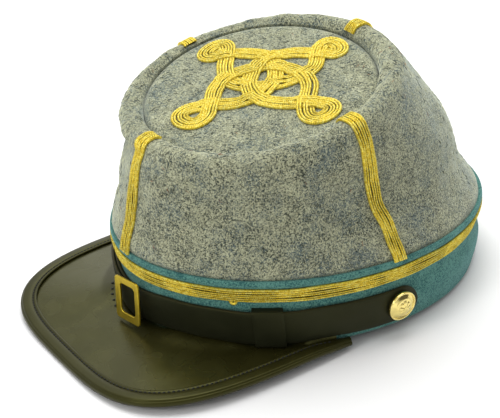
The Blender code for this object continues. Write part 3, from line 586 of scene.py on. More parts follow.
def unevenness(angle, level):
    """Swell of the soft cloth: none at the seam and the crease, little on the band."""
    total = sum_of_waves(angle, level, SOFT_WAVES)
    wool = part_way(level, 0.0, 0.15) * (1.0 - part_way(level, 1.6, 1.95))
    band = BAND_SWELL_SHARE * part_way(-level, 0.3, 0.5) * (1.0 - part_way(-level, 0.85, 1.0))
    return bpy.context.scene.kepi_cloth.unevenness * total * (wool + band)


def cloth_point(angle, level, soft=True):
    """Places on the outside of the cloth, from the hem of the band to the cloth in the crease."""
    angle, level = np.broadcast_arrays(np.asarray(angle, float), np.asarray(level, float))
    down, up = np.maximum(0.0, -level), np.clip(level, 0.0, 1.0)[..., None]
    foot = points_at(
        (SEAM_HALF_WIDTH - BAND_DRAW_IN * down) * np.cos(angle),
        (SEAM_HALF_LENGTH - BAND_DRAW_IN * down) * np.sin(angle) + BAND_SHIFT_BACK * down,
        -BAND_HEIGHT * down,
    )
    out = oval_outward(angle)
    top = roll_point(angle, np.full(angle.shape, ROLL_START))[0]
    place = foot + (top - foot) * up + out * bulge(angle, np.minimum(level, 1.0))[..., None]
    if np.any(level > 1.0):
        end, drop = crease(angle)
        way = np.clip(level, 1.0, 2.0) - 1.0
        sunk = drop * way * way + LIP_DEPTH * np.maximum(0.0, level - 2.0)
        rolled, roll_out = roll_point(angle, ROLL_START + way * (end - ROLL_START))
        on_roll = (level > 1.0)[..., None]
        place = np.where(on_roll, rolled - disc_axes()[2] * sunk[..., None], place)
        out = np.where(on_roll, roll_out, out)
    if not soft:
        return place
    return place + out * unevenness(angle, level)[..., None]


def run_round(angle, level, step):
    """From just behind a place on the cloth to just ahead of it, round the head."""
    return cloth_point(angle + step, level) - cloth_point(angle - step, level)


def run_up(angle, level, step):
    """From just below a place on the cloth to just above it."""
    return cloth_point(angle, level + step) - cloth_point(angle, level - step)


def metres_per_step(run, step):
    """The cloth's length for each radian or level, from a run of one step to both sides."""
    return np.linalg.norm(run, axis=-1) / (2.0 * step)


def cloth_normal(angle, level):
    """The direction out of the cloth."""
    return unit(np.cross(run_round(angle, level, NORMAL_STEP), run_up(angle, level, NORMAL_STEP)))


def off_cloth(angle, level, lift):
    """Places that stand off the cloth by this lift."""
    angle, level, lift = np.broadcast_arrays(angle, level, lift)
    return cloth_point(angle, level) + cloth_normal(angle, level) * lift[..., None]


class Body:
    """Gathers closed bodies of points and faces, with named values at the points, into one mesh."""

    def __init__(self):
        self.points, self.faces, self.values, self.count = [], [], {}, 0

    def add_tube(self, rings, joined=False, **values):
        """A closed body through rings of points, joined end to end or capped at both ends."""
        stations, around = rings.shape[:2]
        index = self.count + np.arange(stations * around).reshape(stations, around)
        here, there = (index, np.roll(index, -1, 0)) if joined else (index[:-1], index[1:])
        quads = np.stack([here, np.roll(here, -1, 1), np.roll(there, -1, 1), there], -1)
        self.faces.append(quads.reshape(-1, 4))
        if not joined:
            half = np.arange((around - 1) // 2)
            for ring in (index[0], index[-1]):
                opposite = around - 1 - half
                cap = [ring[half], ring[half + 1], ring[opposite - 1], ring[opposite]]
                self.faces.append(np.stack(cap, -1))
        self.points.append(rings.reshape(-1, 3))
        for name, value in values.items():
            self.values.setdefault(name, []).append(value.reshape(stations * around, -1))
        self.count += stations * around

    def mesh(self, name, sharp_angle=50.0):
        """The mesh, smooth except over edges sharper than this angle in degrees."""
        built = bpy.data.meshes.new(name)
        faces = [list(dict.fromkeys(face)) for face in np.concatenate(self.faces).tolist()]
        built.from_pydata(np.concatenate(self.points).tolist(), [], faces)
        for value_name, parts in self.values.items():
            table = np.concatenate(parts)
            kind, field = ("FLOAT", "value") if table.shape[1] == 1 else ("FLOAT_VECTOR", "vector")
            layer = built.attributes.new(value_name, kind, "POINT")
            layer.data.foreach_set(field, table.ravel())
        edited = bmesh.new()
        edited.from_mesh(built)
        bmesh.ops.recalc_face_normals(edited, faces=edited.faces)
        edited.to_mesh(built)
        edited.free()
        built.shade_smooth()
        built.set_sharp_from_angle(angle=math.radians(sharp_angle))
        return built


def stand_matrix():
    """From the cap's frame to the floor: it tips onto its visor and the back of its hem."""
    front = visor_edge(np.array(math.pi / 2.0)) - np.array((0.0, 0.0, BINDING_RADIUS))
    back = cloth_point(math.pi / 2.0, -1.0, soft=False)
    turned = Matrix.Rotation(math.atan2(front[2] - back[2], back[1] - front[1]), 4, "X")
    low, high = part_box("strap_buckle")
    return Matrix.Translation((low + high) / 2.0 - turned @ BUCKLE_SOLID_CENTRE) @ turned


def add_piece(name, mesh, material, slot, *replaced):
    """One piece of the cap, in its place, riding on the cap's only body."""
    mesh.materials.append(material)
    mesh.transform(stand_matrix())
    piece = bpy.data.objects.new(name, mesh)
    bpy.context.scene.collection.objects.link(piece)
    if replaced:
        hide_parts(*replaced)
    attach(piece, "root")
    return piece


class Finish:
    """A material with one Principled shader, and short calls for the nodes that feed it."""

    def __init__(self, name, **plain):
        self.material = bpy.data.materials.new(name)
        self.material.use_nodes = True
        self.tree = self.material.node_tree
        self.shader = self.tree.nodes["Principled BSDF"]
        for socket, value in plain.items():
            self.shader.inputs[socket.replace("_", " ")].default_value = value
        self.place = self.node("ShaderNodeTexCoord").outputs["Object"]

    def node(self, kind, settings=(), inputs=(), **sockets):
        """A new node: inputs feeds its first inputs in order, sockets feeds inputs by name."""
        made = self.tree.nodes.new(kind)
        for name, value in dict(settings).items():
            setattr(made, name, value)
        for socket, value in zip(made.inputs, inputs):
            self.feed(socket, value)
        for name, value in sockets.items():
            self.feed(made.inputs[name.replace("_", " ")], value)
        return made

    def feed(self, socket, value):
        """Links the value where it comes from a node, and otherwise sets it."""
        if isinstance(value, bpy.types.NodeSocket):
            self.tree.links.new(value, socket)
        else:
            socket.default_value = value

    def shade(self, **sockets):
        """The finished material, with these values on its shader."""
        for name, value in sockets.items():
            self.feed(self.shader.inputs[name.replace("_", " ")], value)
        return self.material

    def attribute(self, name, output="Fac"):
        """A named value of the mesh's points."""
        return self.node("ShaderNodeAttribute", {"attribute_name": name}).outputs[output]

    def math(self, operation, first, second=0.0):
        """The result of one operation on one or two values."""
        return self.node("ShaderNodeMath", {"operation": operation}, (first, second)).outputs[0]

    def add(self, first, second):
        return self.math("ADD", first, second)

    def times(self, value, factor):
        return self.math("MULTIPLY", value, factor)

    def swing(self, value, reach):
        """How far the value is from one half, times this reach."""
        return self.times(self.math("SUBTRACT", value, 0.5), reach)

    def noise(self, size, detail=2.0, roughness=0.5, distortion=0.0, place=None):
        """Noise whose lumps are about this size, in metres."""
        made = self.node(
            "ShaderNodeTexNoise", Vector=self.place if place is None else place, Scale=1.0 / size,
            Detail=detail, Roughness=roughness, Distortion=distortion,
        )
        return made.outputs["Fac"]

    def between(self, value, low, high, to_low=0.0, to_high=1.0):
        """From to_low to to_high, eased, as the value goes from low to high."""
        made = self.node(
            "ShaderNodeMapRange", {"interpolation_type": "SMOOTHSTEP"}, Value=value, From_Min=low,
            From_Max=high, To_Min=to_low, To_Max=to_high,
        )
        return made.outputs["Result"]

    def blend(self, share, first, second):
        """From the first colour to the second as the share goes from 0 to 1."""
        made = self.node("ShaderNodeMix", {"data_type": "RGBA"}, (share,))
        self.feed(made.inputs[MIX_FIRST_COLOUR], first)
        self.feed(made.inputs[MIX_SECOND_COLOUR], second)
        return made.outputs[MIX_COLOUR]

    def bump(self, height, strength, distance, under=None):
        """Relief from a height, on top of the relief under it."""
        made = self.node("ShaderNodeBump", Height=height, Strength=strength, Distance=distance)
        if under is not None:
            self.feed(made.inputs["Normal"], under)
        return made.outputs["Normal"]


def toned(colour_value, share):
    """The colour made darker or lighter: its red, green and blue times the share."""
    return tuple(min(1.0, share * part) for part in colour_value[:3]) + (1.0,)


def fibre_lines(finish, size, width):
    """Thin curly lines, where a noise passes its middle value."""
    lumps = finish.noise(size, detail=1.0, distortion=1.5)
    off_middle = finish.math("ABSOLUTE", finish.math("SUBTRACT", lumps, 0.5))
    return finish.between(off_middle, 0.0, width, 1.0, 0.0)


def heather_wool(settings, name):
    """Felted grey wool of pale, dark and blue fibres."""
    finish = Finish(
        name, Roughness=0.95, Sheen_Weight=0.7, Sheen_Roughness=0.42,
        Sheen_Tint=(0.80, 0.88, 0.78, 1.0), Specular_IOR_Level=0.15,
    )
    grain = finish.noise(WOOL_GRAIN, detail=1.0)
    clumps = finish.noise(WOOL_CLUMP, detail=2.0, roughness=0.8, distortion=0.2)
    fine = finish.add(finish.times(grain, 0.5), finish.times(clumps, 0.5))
    clouds = finish.noise(CLOTH_CLOUD, detail=3.0, roughness=0.6)
    share = finish.add(fine, finish.swing(clouds, 0.22))
    warm = finish.between(finish.noise(WOOL_FLECK, roughness=0.7), 0.50, 0.62)
    light = finish.blend(finish.times(warm, 0.8), settings.light, settings.warm)
    grey = finish.blend(finish.between(share, 0.36, 0.64), settings.dark, light)
    drift = finish.swing(finish.noise(WOOL_DRIFT), 0.5)
    spots = finish.add(finish.noise(WOOL_FLECK, roughness=0.7), drift)
    blue_spots = finish.between(spots, 0.50, 0.66)
    coloured = finish.blend(finish.times(blue_spots, 0.75), grey, settings.blue)
    curls = finish.times(fibre_lines(finish, WOOL_CURL, 0.018), 0.55)
    haired = finish.blend(curls, coloured, settings.pale_fibre)
    height = finish.add(fine, finish.times(curls, 0.5))
    return finish.shade(Base_Color=haired, Normal=finish.bump(height, 0.8, WOOL_RELIEF))


def wool_fibre(settings, name):
    """Single fibres, pale, dark, blue or here and there rust, as their tone says."""
    finish = Finish(name, Roughness=0.9, Specular_IOR_Level=0.1)
    tone = finish.attribute("tone")
    shown = settings.pale_fibre
    for least, following in (
        (DARK_FIBRES_FROM, settings.dark), (BLUE_FIBRES_FROM, settings.blue),
        (RUST_FIBRES_FROM, settings.rust_fibre),
    ):
        shown = finish.blend(finish.math("GREATER_THAN", tone, least), shown, following)
    return finish.shade(Base_Color=shown)


def teal_felt(settings, name):
    """Close teal felt with faint lint."""
    finish = Finish(
        name, Roughness=0.95, Sheen_Weight=0.3, Sheen_Roughness=0.5,
        Sheen_Tint=(0.45, 0.75, 0.80, 1.0), Specular_IOR_Level=0.12,
    )
    fine = finish.noise(TEAL_GRAIN, roughness=0.7)
    share = finish.add(fine, finish.swing(finish.noise(CLOTH_CLOUD), 0.25))
    cloth = finish.blend(finish.between(share, 0.36, 0.61), settings.teal_shade, settings.teal)
    lint = finish.times(fibre_lines(finish, TEAL_LINT, 0.012), 0.4)
    linted = finish.blend(lint, cloth, LINT_COLOUR)
    return finish.shade(Base_Color=linted, Normal=finish.bump(fine, 0.6, TEAL_RELIEF))


def gold_soutache(settings, name, look):
    """Gold thread plaited over two cords; the braid value holds along, across and shade."""
    finish = Finish(
        name, Metallic=look.metal, Specular_Tint=(1.0, 0.92, 0.50, 1.0), Specular_IOR_Level=0.3,
    )
    braid = finish.node("ShaderNodeSeparateXYZ", inputs=(finish.attribute("braid", "Vector"),))
    along, across, shade = braid.outputs
    # The thread wave paints deep gold between the threads and bright gold on them, the painted
    # shade and light of the thread relief; the flecks are painted highlights and the patches are
    # random tone.
    slant = finish.times(finish.math("ABSOLUTE", across), THREAD_SLANT)
    turns = finish.times(along, FULL_TURN / (0.5 * settings.thread_pitch))
    jitter = finish.times(finish.noise(THREAD_JITTER, detail=1.0), 4.0)
    wave = finish.math("SINE", finish.add(finish.add(turns, slant), jitter))
    thread = finish.between(wave, -0.9, 0.9)
    flecks = finish.noise(GOLD_FLECK, roughness=0.7)
    share = finish.add(finish.times(thread, 0.30), finish.times(finish.noise(GOLD_PATCH), 0.35))
    share = finish.add(share, finish.times(finish.between(flecks, 0.36, 0.64), look.flecking))
    gold = finish.blend(
        finish.between(share, 0.32, 0.24 + look.flecking), settings.deep, settings.bright
    )
    # Painted highlights: streaks of glint colour along each row of the braid.
    lane = finish.node(
        "ShaderNodeCombineXYZ", X=finish.math("DIVIDE", along, look.glint_length),
        Y=finish.times(across, GLINT_LANE),
    ).outputs["Vector"]
    glints = finish.between(finish.noise(GOLD_GLINT, roughness=0.6, place=lane), 0.48, 0.62)
    lit = finish.blend(finish.times(glints, look.glinting), gold, settings.glint)
    # Painted shade: the groove colour darkens the grooves and, in patches along the braid, the
    # lines between the rows.
    shade_parting = finish.between(finish.noise(ROW_SHADE_PARTING, detail=1.0), 0.34, 0.54, -0.20, 0.34)
    parted_shade = finish.between(finish.add(shade, shade_parting), 0.30, 0.85)
    groove_shaded = finish.blend(finish.times(parted_shade, look.groove_depth), lit, settings.shadow)
    gloss = finish.between(flecks, 0.3, 0.7, 0.48, 0.30)
    relief = finish.bump(finish.add(thread, flecks), 0.9, GOLD_RELIEF)
    return finish.shade(Base_Color=groove_shaded, Roughness=gloss, Normal=relief)


def grained_leather(settings, name, colour_value, look):
    """Black leather with a fine pebbled grain and shallow wrinkles; its cut edges are tan."""
    finish = Finish(name, Specular_IOR_Level=look.shine, Specular_Tint=(1.0, 1.0, 0.35, 1.0))
    pebbles = finish.node("ShaderNodeTexVoronoi", Vector=finish.place, Scale=1.0 / LEATHER_PEBBLE)
    long_folds = finish.node("ShaderNodeMapping", Vector=finish.place, Scale=(1.0, 0.3, 1.0))
    folds = finish.noise(
        LEATHER_FOLD, detail=4.0, roughness=0.65, distortion=0.15,
        place=long_folds.outputs["Vector"],
    )
    worn = finish.between(finish.noise(LEATHER_WEAR), 0.35, 0.75)
    base = finish.blend(worn, colour_value, toned(colour_value, 1.4))
    tanned = finish.blend(finish.attribute("cut_edge"), base, settings.cut_edge)
    grain = finish.add(finish.times(pebbles.outputs["Distance"], 0.5), finish.noise(LEATHER_GRAIN))
    bumped = finish.bump(grain, 0.16, LEATHER_GRAIN_RELIEF)
    creased = finish.bump(folds, 0.14 * look.wrinkle, LEATHER_FOLD_RELIEF, under=bumped)
    patches = finish.noise(LEATHER_GLOSS_PATCH, detail=1.0)
    rough = finish.between(patches, 0.3, 0.7, look.gloss, look.gloss + 0.06)
    return finish.shade(Base_Color=tanned, Roughness=rough, Normal=creased)


def waxed_thread(name):
    """Black waxed thread, a little paler in places."""
    finish = Finish(name, Roughness=0.6)
    waxed = finish.blend(finish.noise(THREAD_WAX), THREAD_BLACK, THREAD_PALE)
    return finish.shade(Base_Color=waxed)


def smooth_brass(settings, name):
    """Smooth yellow brass, worn a little duller in patches."""
    finish = Finish(name, Metallic=1.0)
    patches = finish.noise(BRASS_PATCH, detail=3.0)
    worn = finish.between(patches, 0.35, 0.75)
    colour_shown = finish.blend(worn, settings.brass, toned(settings.brass, 0.82))
    gloss = finish.between(patches, 0.3, 0.7, 0.32, 0.42)
    return finish.shade(Base_Color=colour_shown, Roughness=gloss)


def polished_gilt(settings, name):
    """Polished gilt with faint smears."""
    finish = Finish(name, Metallic=1.0)
    smears = finish.noise(GILT_SMEAR, detail=3.0)
    worn = finish.between(smears, 0.4, 0.8)
    colour_shown = finish.blend(worn, settings.gilt, toned(settings.gilt, 0.8))
    gloss = finish.between(smears, 0.3, 0.7, 0.10, 0.2)
    return finish.shade(Base_Color=colour_shown, Roughness=gloss)


def shared(name, make):
    """The material of this name, made the first time that it is asked for."""
    return bpy.data.materials.get(name) or make(name)


def wool_finish(scene):
    """Heather wool, the same on the wall and the top."""
    return shared("heather_wool", lambda name: heather_wool(scene.kepi_cloth, name))


def knot_gold_finish(scene):
    """Gold of the flat knot, whose threads are lit evenly from above."""
    return shared("knot_soutache", lambda name: gold_soutache(scene.kepi_braid, name, KNOT_GOLD))


def side_gold_finish(scene):
    """Gold of the side braids, with darker painted groove shade and stronger flecks of painted
    highlight.
    """
    return shared("side_soutache", lambda name: gold_soutache(scene.kepi_braid, name, SIDE_GOLD))


def leather_finish(scene, name, colour_value, look):
    """One of the cap's leathers, shared by the pieces that are cut from it."""
    return shared(name, lambda new: grained_leather(scene.kepi_leather, new, colour_value, look))


def strap_finish(scene):
    """Leather of the strap, its second layer and the keeper."""
    return leather_finish(scene, "strap_leather", scene.kepi_leather.black, STRAP_LOOK)


def angles_round(count):
    """Even steps of one full turn."""
    return np.arange(count) * FULL_TURN / count


def ring_round(side, upward, turns):
    """Directions round a thread at these turns, from its side towards its upper side."""
    turns = turns[:, None]
    return side[..., None, :] * np.cos(turns) + upward[..., None, :] * np.sin(turns)


def build_crown_wool(scene):
    """The wall and its rim roll: one felt body, its foot tucked behind the band's welt."""
    angles = angles_round(300)[:, None]
    foot, wall = np.linspace(0.004, 0.06, 5), np.linspace(0.08, 1.0, 44)
    roll, lip = np.linspace(1.03, 2.0, 30), np.linspace(2.2, 3.0, 4)
    levels = np.concatenate([[WALL_FOOT_LEVEL], foot, wall, roll, lip])[None, :]
    tuck = WALL_TUCK * (1.0 - part_way(levels, 0.0, 0.045))
    outside = off_cloth(angles, levels, -tuck)
    inside = off_cloth(angles, levels, -CLOTH - tuck)
    body = Body()
    body.add_tube(np.concatenate([outside, inside[:, ::-1]], 1), joined=True)
    add_piece("crown_wool", body.mesh("crown_wool"), wool_finish(scene), "grey_wool", "crown_side")


def disc_edge(angle):
    """Places on the disc's edge, just inside the crease and exactly in the disc's plane."""
    upward = disc_axes()[2]
    met = cloth_point(angle, 2.0, soft=False)
    met = met - upward * height_over_disc(met)[..., None]
    return met + unit(DISC_CENTRE - met) * DISC_EDGE_GAP


def disc_swell(place):
    """How far the soft disc rises over its plane, from places on the plane."""
    sideways, backward, _ = disc_axes()
    x, y = (place - DISC_CENTRE) @ sideways, (place - DISC_CENTRE) @ backward
    swell = sum_of_waves(x * DISC_WAVE_PACE, y * DISC_WAVE_PACE, SOFT_WAVES[:DISC_WAVES])
    fade = 1.0 - part_way(np.hypot(x, y), DISC_FLAT_FROM, DISC_FLAT_TO)
    return bpy.context.scene.kepi_cloth.unevenness * DISC_SWELL_SHARE * swell * fade


def build_crown_disc(scene):
    """The round top, whose edge bends down into the crease of the roll."""
    angles = angles_round(240)[None, :]
    upward = disc_axes()[2]
    edge = disc_edge(angles)
    inner = np.linspace(0.03, DISC_BEND_FROM, 34)
    reaches = np.concatenate([[0.004], inner, [0.97, 0.985, 1.0]])[:, None]
    flat = DISC_CENTRE + (edge - DISC_CENTRE) * reaches[..., None]
    past_bend = (reaches - DISC_BEND_FROM) / (1.0 - DISC_BEND_FROM)
    bend = DISC_BEND * np.clip(past_bend, 0.0, 1.0) ** 2
    top = flat + upward * (disc_swell(flat) - bend)[..., None]
    bottom = flat - upward * (CLOTH + bend * 0.5)[..., None]
    body = Body()
    body.add_tube(np.concatenate([top, bottom[::-1]]), joined=False)
    add_piece("crown_disc", body.mesh("crown_disc"), wool_finish(scene), "grey_wool", "crown_top")


def add_fibres(body, random, lay, longest, tones):
    """Loose bent fibres: lay(u, v, lift) gives places u and v metres from the fibres' middles."""
    count, radius = len(tones), FIBRE_RADIUS
    heading = random.uniform(0.0, FULL_TURN, count)[:, None]
    bend = random.uniform(-FIBRE_BEND, FIBRE_BEND, count)[:, None]
    reach = random.uniform(0.5, 1.0, count)[:, None] * longest / 2.0
    way = np.array((-1.0, 0.0, 1.0))[None, :]
    u = reach * (way * np.cos(heading) - bend * way * way * np.sin(heading) * 0.5)
    v = reach * (way * np.sin(heading) + bend * way * way * np.cos(heading) * 0.5)
    lift = random.uniform(0.3, 1.6, count)[:, None] * radius * (1.0 - 0.6 * way * way)
    line = lay(u, v, lift)
    upward = unit(lay(u, v, lift + radius) - line)
    forward = unit(np.roll(line, -1, 1) - line)
    forward[:, -1] = forward[:, -2]
    side = unit(np.cross(upward, forward))
    thick = radius * (1.0 - 0.55 * way * way) * random.uniform(0.7, 1.3, count)[:, None]
    ring = ring_round(side, upward, angles_round(3) + math.pi / 2.0)
    rings = line[:, :, None] + ring * thick[..., None, None]
    for tube, tone in zip(rings, tones):
        body.add_tube(tube, tone=np.full(tube.shape[:2], tone))


def build_wool_fibres(scene):
    """Pale, dark and blue fibres that lie loose on the wool of the wall, the roll and the top."""
    random = np.random.default_rng(FIBRE_SEED)
    cloth = scene.kepi_cloth
    on_top = int(cloth.fibres * TOP_FIBRE_SHARE)
    on_wall = cloth.fibres - on_top
    angle = random.uniform(0.0, FULL_TURN, on_wall)[:, None]
    level = random.uniform(FIBRE_LOWEST, FIBRE_HIGHEST, on_wall)[:, None]
    a_radian = metres_per_step(run_round(angle, level, SLOPE_STEP), SLOPE_STEP)
    a_level = metres_per_step(run_up(angle, level, SLOPE_STEP), SLOPE_STEP)

    def lay_on_wall(u, v, lift):
        return off_cloth(angle + u / a_radian, level + v / a_level, lift)

    body = Body()
    add_fibres(body, random, lay_on_wall, cloth.fibre_length, random.uniform(size=on_wall))
    sideways, backward, upward = disc_axes()
    around = random.uniform(0.0, FULL_TURN, on_top)
    share = FIBRE_DISC_REACH * np.sqrt(random.uniform(size=on_top))
    spots = DISC_CENTRE + (disc_edge(around) - DISC_CENTRE) * share[:, None]

    def lay_on_top(u, v, lift):
        flat = spots[:, None] + u[..., None] * sideways + v[..., None] * backward
        return flat + upward * (disc_swell(flat) + lift)[..., None]

    add_fibres(body, random, lay_on_top, cloth.fibre_length, random.uniform(size=on_top))
    hair = shared("wool_fibre", lambda name: wool_fibre(cloth, name))
    add_piece("wool_fibres", body.mesh("wool_fibres"), hair, "grey_wool")


def build_band_cloth(scene):
    """Teal felt with a rounded welt along its top and a rounded hem."""
    angles = angles_round(300)[:, None]
    hem_levels, cloth_levels = np.linspace(-1.0, HEM_ROUND_FROM, 4), np.linspace(-0.94, -0.14, 26)
    levels = np.concatenate([hem_levels, cloth_levels, np.linspace(-0.12, 0.0, 9)])[None, :]
    from_welt = (levels - WELT_MIDDLE) / WELT_HALF_HEIGHT
    welt = np.sqrt(np.clip(1.0 - from_welt ** 2, 0.0, 1.0))
    hem = np.clip((levels - HEM_ROUND_FROM) / (-1.0 - HEM_ROUND_FROM), 0.0, 1.0)
    lift = WELT_RISE * welt - HEM_ROUNDING * (1.0 - np.sqrt(1.0 - hem ** 2))
    outside = off_cloth(angles, levels, lift)
    inside = off_cloth(angles, levels, -CLOTH)
    body = Body()
    body.add_tube(np.concatenate([outside, inside[:, ::-1]], 1), joined=True)
    felt = shared("teal_felt", lambda name: teal_felt(scene.kepi_cloth, name))
    add_piece("band_cloth", body.mesh("band_cloth"), felt, "teal_wool", "band")


def soutache_section(width, braid):
    """Places across one soutache and their heights: two round ridges over a flat back."""
    turns = np.radians(np.linspace(-90.0, 90.0, 5))
    lobe = width / 4.0 * np.sin(turns)
    rise = braid.height - braid.groove * (1.0 - np.cos(turns))
    back = BACK_SHARE * width
    across = np.concatenate([lobe - width / 4.0, (lobe + width / 4.0)[1:], [back, -back]])
    heights = np.concatenate([rise, rise[1:], [0.0, 0.0]])
    return across, heights


def add_soutache(body, along, place, row, width, braid, seed, joined=False, looseness=1.0):
    """One soutache laid along a path: place(across, height) gives points for arrays of both.

    Its shade value is 1 where it meets the next row, less in its own groove and 0 on its ridges.
    """
    offsets, pitch = row_offsets(width)
    offset, width = offsets[row], ROW_SHARE * pitch
    across, heights = soutache_section(width, braid)
    random = np.random.default_rng(seed)
    waves = max(6, int(along[-1] / SWAY_LENGTH))
    sway = braid.sway * looseness / math.sqrt(waves) * sum(
        random.uniform(0.4, 1.6) * np.cos(FULL_TURN * (turn * along / along[-1] + random.uniform()))
        for turn in range(2, waves + 2)
    )
    top = heights > 0.0
    sideways = across[None, :] / (width / 2.0)
    chevron = along[:, None] / braid.thread_pitch + CHEVRON * np.abs(sideways)
    thread = np.cos(FULL_TURN * chevron) * top[None, :]
    sides = offset + sway[:, None] + across[None, :] * (1.0 + THREAD_BULGE * thread)
    rings = place(sides, GAP + heights[None, :] + braid.thread_relief * thread)
    first, last = float(row > 0), float(row < SOUTACHE_ROWS - 1)
    lobe = [SHOULDER_SHADE, 0.0, SHOULDER_SHADE]
    shade = np.array([first] + lobe + [GROOVE_SHADE] + lobe + [last, last, first])
    own_place = along[:, None] + PATTERN_SHIFT * seed
    body.add_tube(rings, joined=joined, braid=points_at(own_place, sideways, shade[None, :]))


def row_offsets(width):
    """The rows' places across a braid of this width, and how far apart they are."""
    pitch = width / SOUTACHE_ROWS
    return [pitch * (row - (SOUTACHE_ROWS - 1) / 2.0) for row in range(SOUTACHE_ROWS)], pitch


def add_nub(body):
    """A short loop of thread that sticks out under the band braid."""
    ways = np.linspace(0.0, math.pi, 9)
    angle = math.radians(NUB_ANGLE) + NUB_SIZE * np.cos(ways) / SEAM_HALF_LENGTH
    level = (NUB_Z - NUB_SIZE * np.sin(ways)) / BAND_HEIGHT
    line = off_cloth(angle, level, NUB_LIFT)
    upward = cloth_normal(angle, level)
    forward = unit(np.gradient(line, axis=0))
    side = unit(np.cross(upward, forward))
    rings = line[:, None] + ring_round(side, upward, angles_round(8)) * NUB_THREAD
    body.add_tube(rings, braid=np.zeros(rings.shape))


def build_band_braid(scene):
    """Three rows of soutache right round the band."""
    width = (BAND_BRAID_TOP - BAND_BRAID_BOTTOM) * BAND_HEIGHT
    middle = (BAND_BRAID_TOP + BAND_BRAID_BOTTOM) / 2.0
    rough = cloth_point(angles_round(400), middle)
    girth = np.linalg.norm(rough - np.roll(rough, -1, 0), axis=1).sum()
    count = int(girth / BRAID_STEP)
    angles = angles_round(count)[:, None]
    body = Body()
    for row in range(SOUTACHE_ROWS):
        add_soutache(
            body, np.arange(count) * girth / count,
            lambda across, height: off_cloth(angles, middle + across / BAND_HEIGHT, height),
            row, width, scene.kepi_braid, seed=row, joined=True, looseness=1.6,
        )
    add_nub(body)
    braid = body.mesh("band_braid_gold")
    add_piece("band_braid_gold", braid, side_gold_finish(scene), "gold_braid", "band_braid")


def build_upright_braids(scene):
    """Braid up the front, left, back and right of the wall and over the rim roll."""
    for number, braid_place in enumerate(UPRIGHT_BRAIDS):
        seam, rim = math.radians(braid_place.angle_at_seam), math.radians(braid_place.angle_at_rim)

        def middle(level):
            return seam + (rim - seam) * np.clip(level, 0.0, 1.0)

        trial = np.linspace(WALL_FOOT_LEVEL, braid_place.end_level, 300)
        steps = np.linalg.norm(np.diff(cloth_point(middle(trial), trial), axis=0), axis=1)
        run = np.concatenate([[0.0], np.cumsum(steps)])
        along = np.arange(0.0, run[-1], BRAID_STEP)
        levels = np.interp(along, run, trial)[:, None]
        a_radian = metres_per_step(run_round(middle(levels), levels, SLOPE_STEP), SLOPE_STEP)

        def place(across, height):
            return off_cloth(middle(levels) + across / a_radian, levels, height)

        body = Body()
        for row in range(SOUTACHE_ROWS):
            add_soutache(
                body, along, place, row, BRAID_WIDTH, scene.kepi_braid, seed=10 * number + row + 20,
                looseness=1.3,
            )
        name = f"{braid_place.name}_gold"
        add_piece(name, body.mesh(name), side_gold_finish(scene), "gold_braid", braid_place.name)


def knot_loop_place(loop, side, turn):
    """A place on a loop's middle line: turn runs from 0 at the neck to half a turn at the tip."""
    neck, tip = np.array(loop.neck), np.array(loop.tip)
    along = tip - neck
    across = unit(np.array((-along[1], along[0])))
    out = loop.half_width * math.sin(turn) * math.sin(turn / 2.0) / KNOT_LOOP_PEAK
    return neck + along * ((1.0 - math.cos(turn)) / 2.0) + across * (side * out)


def knot_path():
    """The knot's closed middle line on the disc, in even steps, and the strand at each step."""
    places, owners = [], []
    for number, strand in enumerate(KNOT_STRANDS):
        start, end = KNOT_LOOPS[strand.start], KNOT_LOOPS[strand.end]
        line = [knot_loop_place(start, 1, turn) for turn in KNOT_LOOP_TURNS[1:]]
        line += [np.array(place) for place in (start.neck,) + strand.places + (end.neck,)]
        line += [knot_loop_place(end, -1, turn) for turn in reversed(KNOT_LOOP_TURNS[1:])]
        line.append(np.array(end.tip))
        places += line
        owners += [number] * len(line)
    places = np.array(places) * MM
    ahead, behind = np.roll(places, -1, 0), np.roll(places, 1, 0)
    forward = np.sqrt(np.linalg.norm(ahead - places, axis=1))[:, None]
    backward = np.roll(forward, 1, 0)
    slopes = (places - behind) / backward + (ahead - places) / forward
    slopes = slopes - (ahead - behind) / (backward + forward)
    fine, who = [], []
    for i, place in enumerate(places):
        t = np.linspace(0.0, 1.0, KNOT_CURVE_STEPS, endpoint=False)[:, None]
        following = (i + 1) % len(places)
        leaving, arriving = slopes[i] * forward[i], slopes[following] * forward[i]
        fine.append(ease(place, places[following], leaving, arriving, t))
        who += [owners[following]] * len(t)
    line = np.concatenate(fine)
    steps = np.linalg.norm(np.diff(line, axis=0, append=line[:1]), axis=1)
    run = np.concatenate([[0.0], np.cumsum(steps)])
    count = int(run[-1] / BRAID_STEP)
    even = np.arange(count) * run[-1] / count
    closed = np.concatenate([line, line[:1]])
    path = np.stack([np.interp(even, run, closed[:, axis]) for axis in (0, 1)], -1)
    owner = np.array(who)[np.clip(np.searchsorted(run, even, side="right") - 1, 0, len(who) - 1)]
    return path, even, run[-1], owner


def strand_over(over, under, place):
    """Whether a strand lies over the same row of another: by rank, but not at one neck."""
    higher = KNOT_STRANDS[over].rank > KNOT_STRANDS[under].rank
    neck = np.array(KNOT_LOOPS[SWAPPED_NECK].neck) * MM
    return higher ^ (np.linalg.norm(place - neck, axis=1) < NECK_REACH)


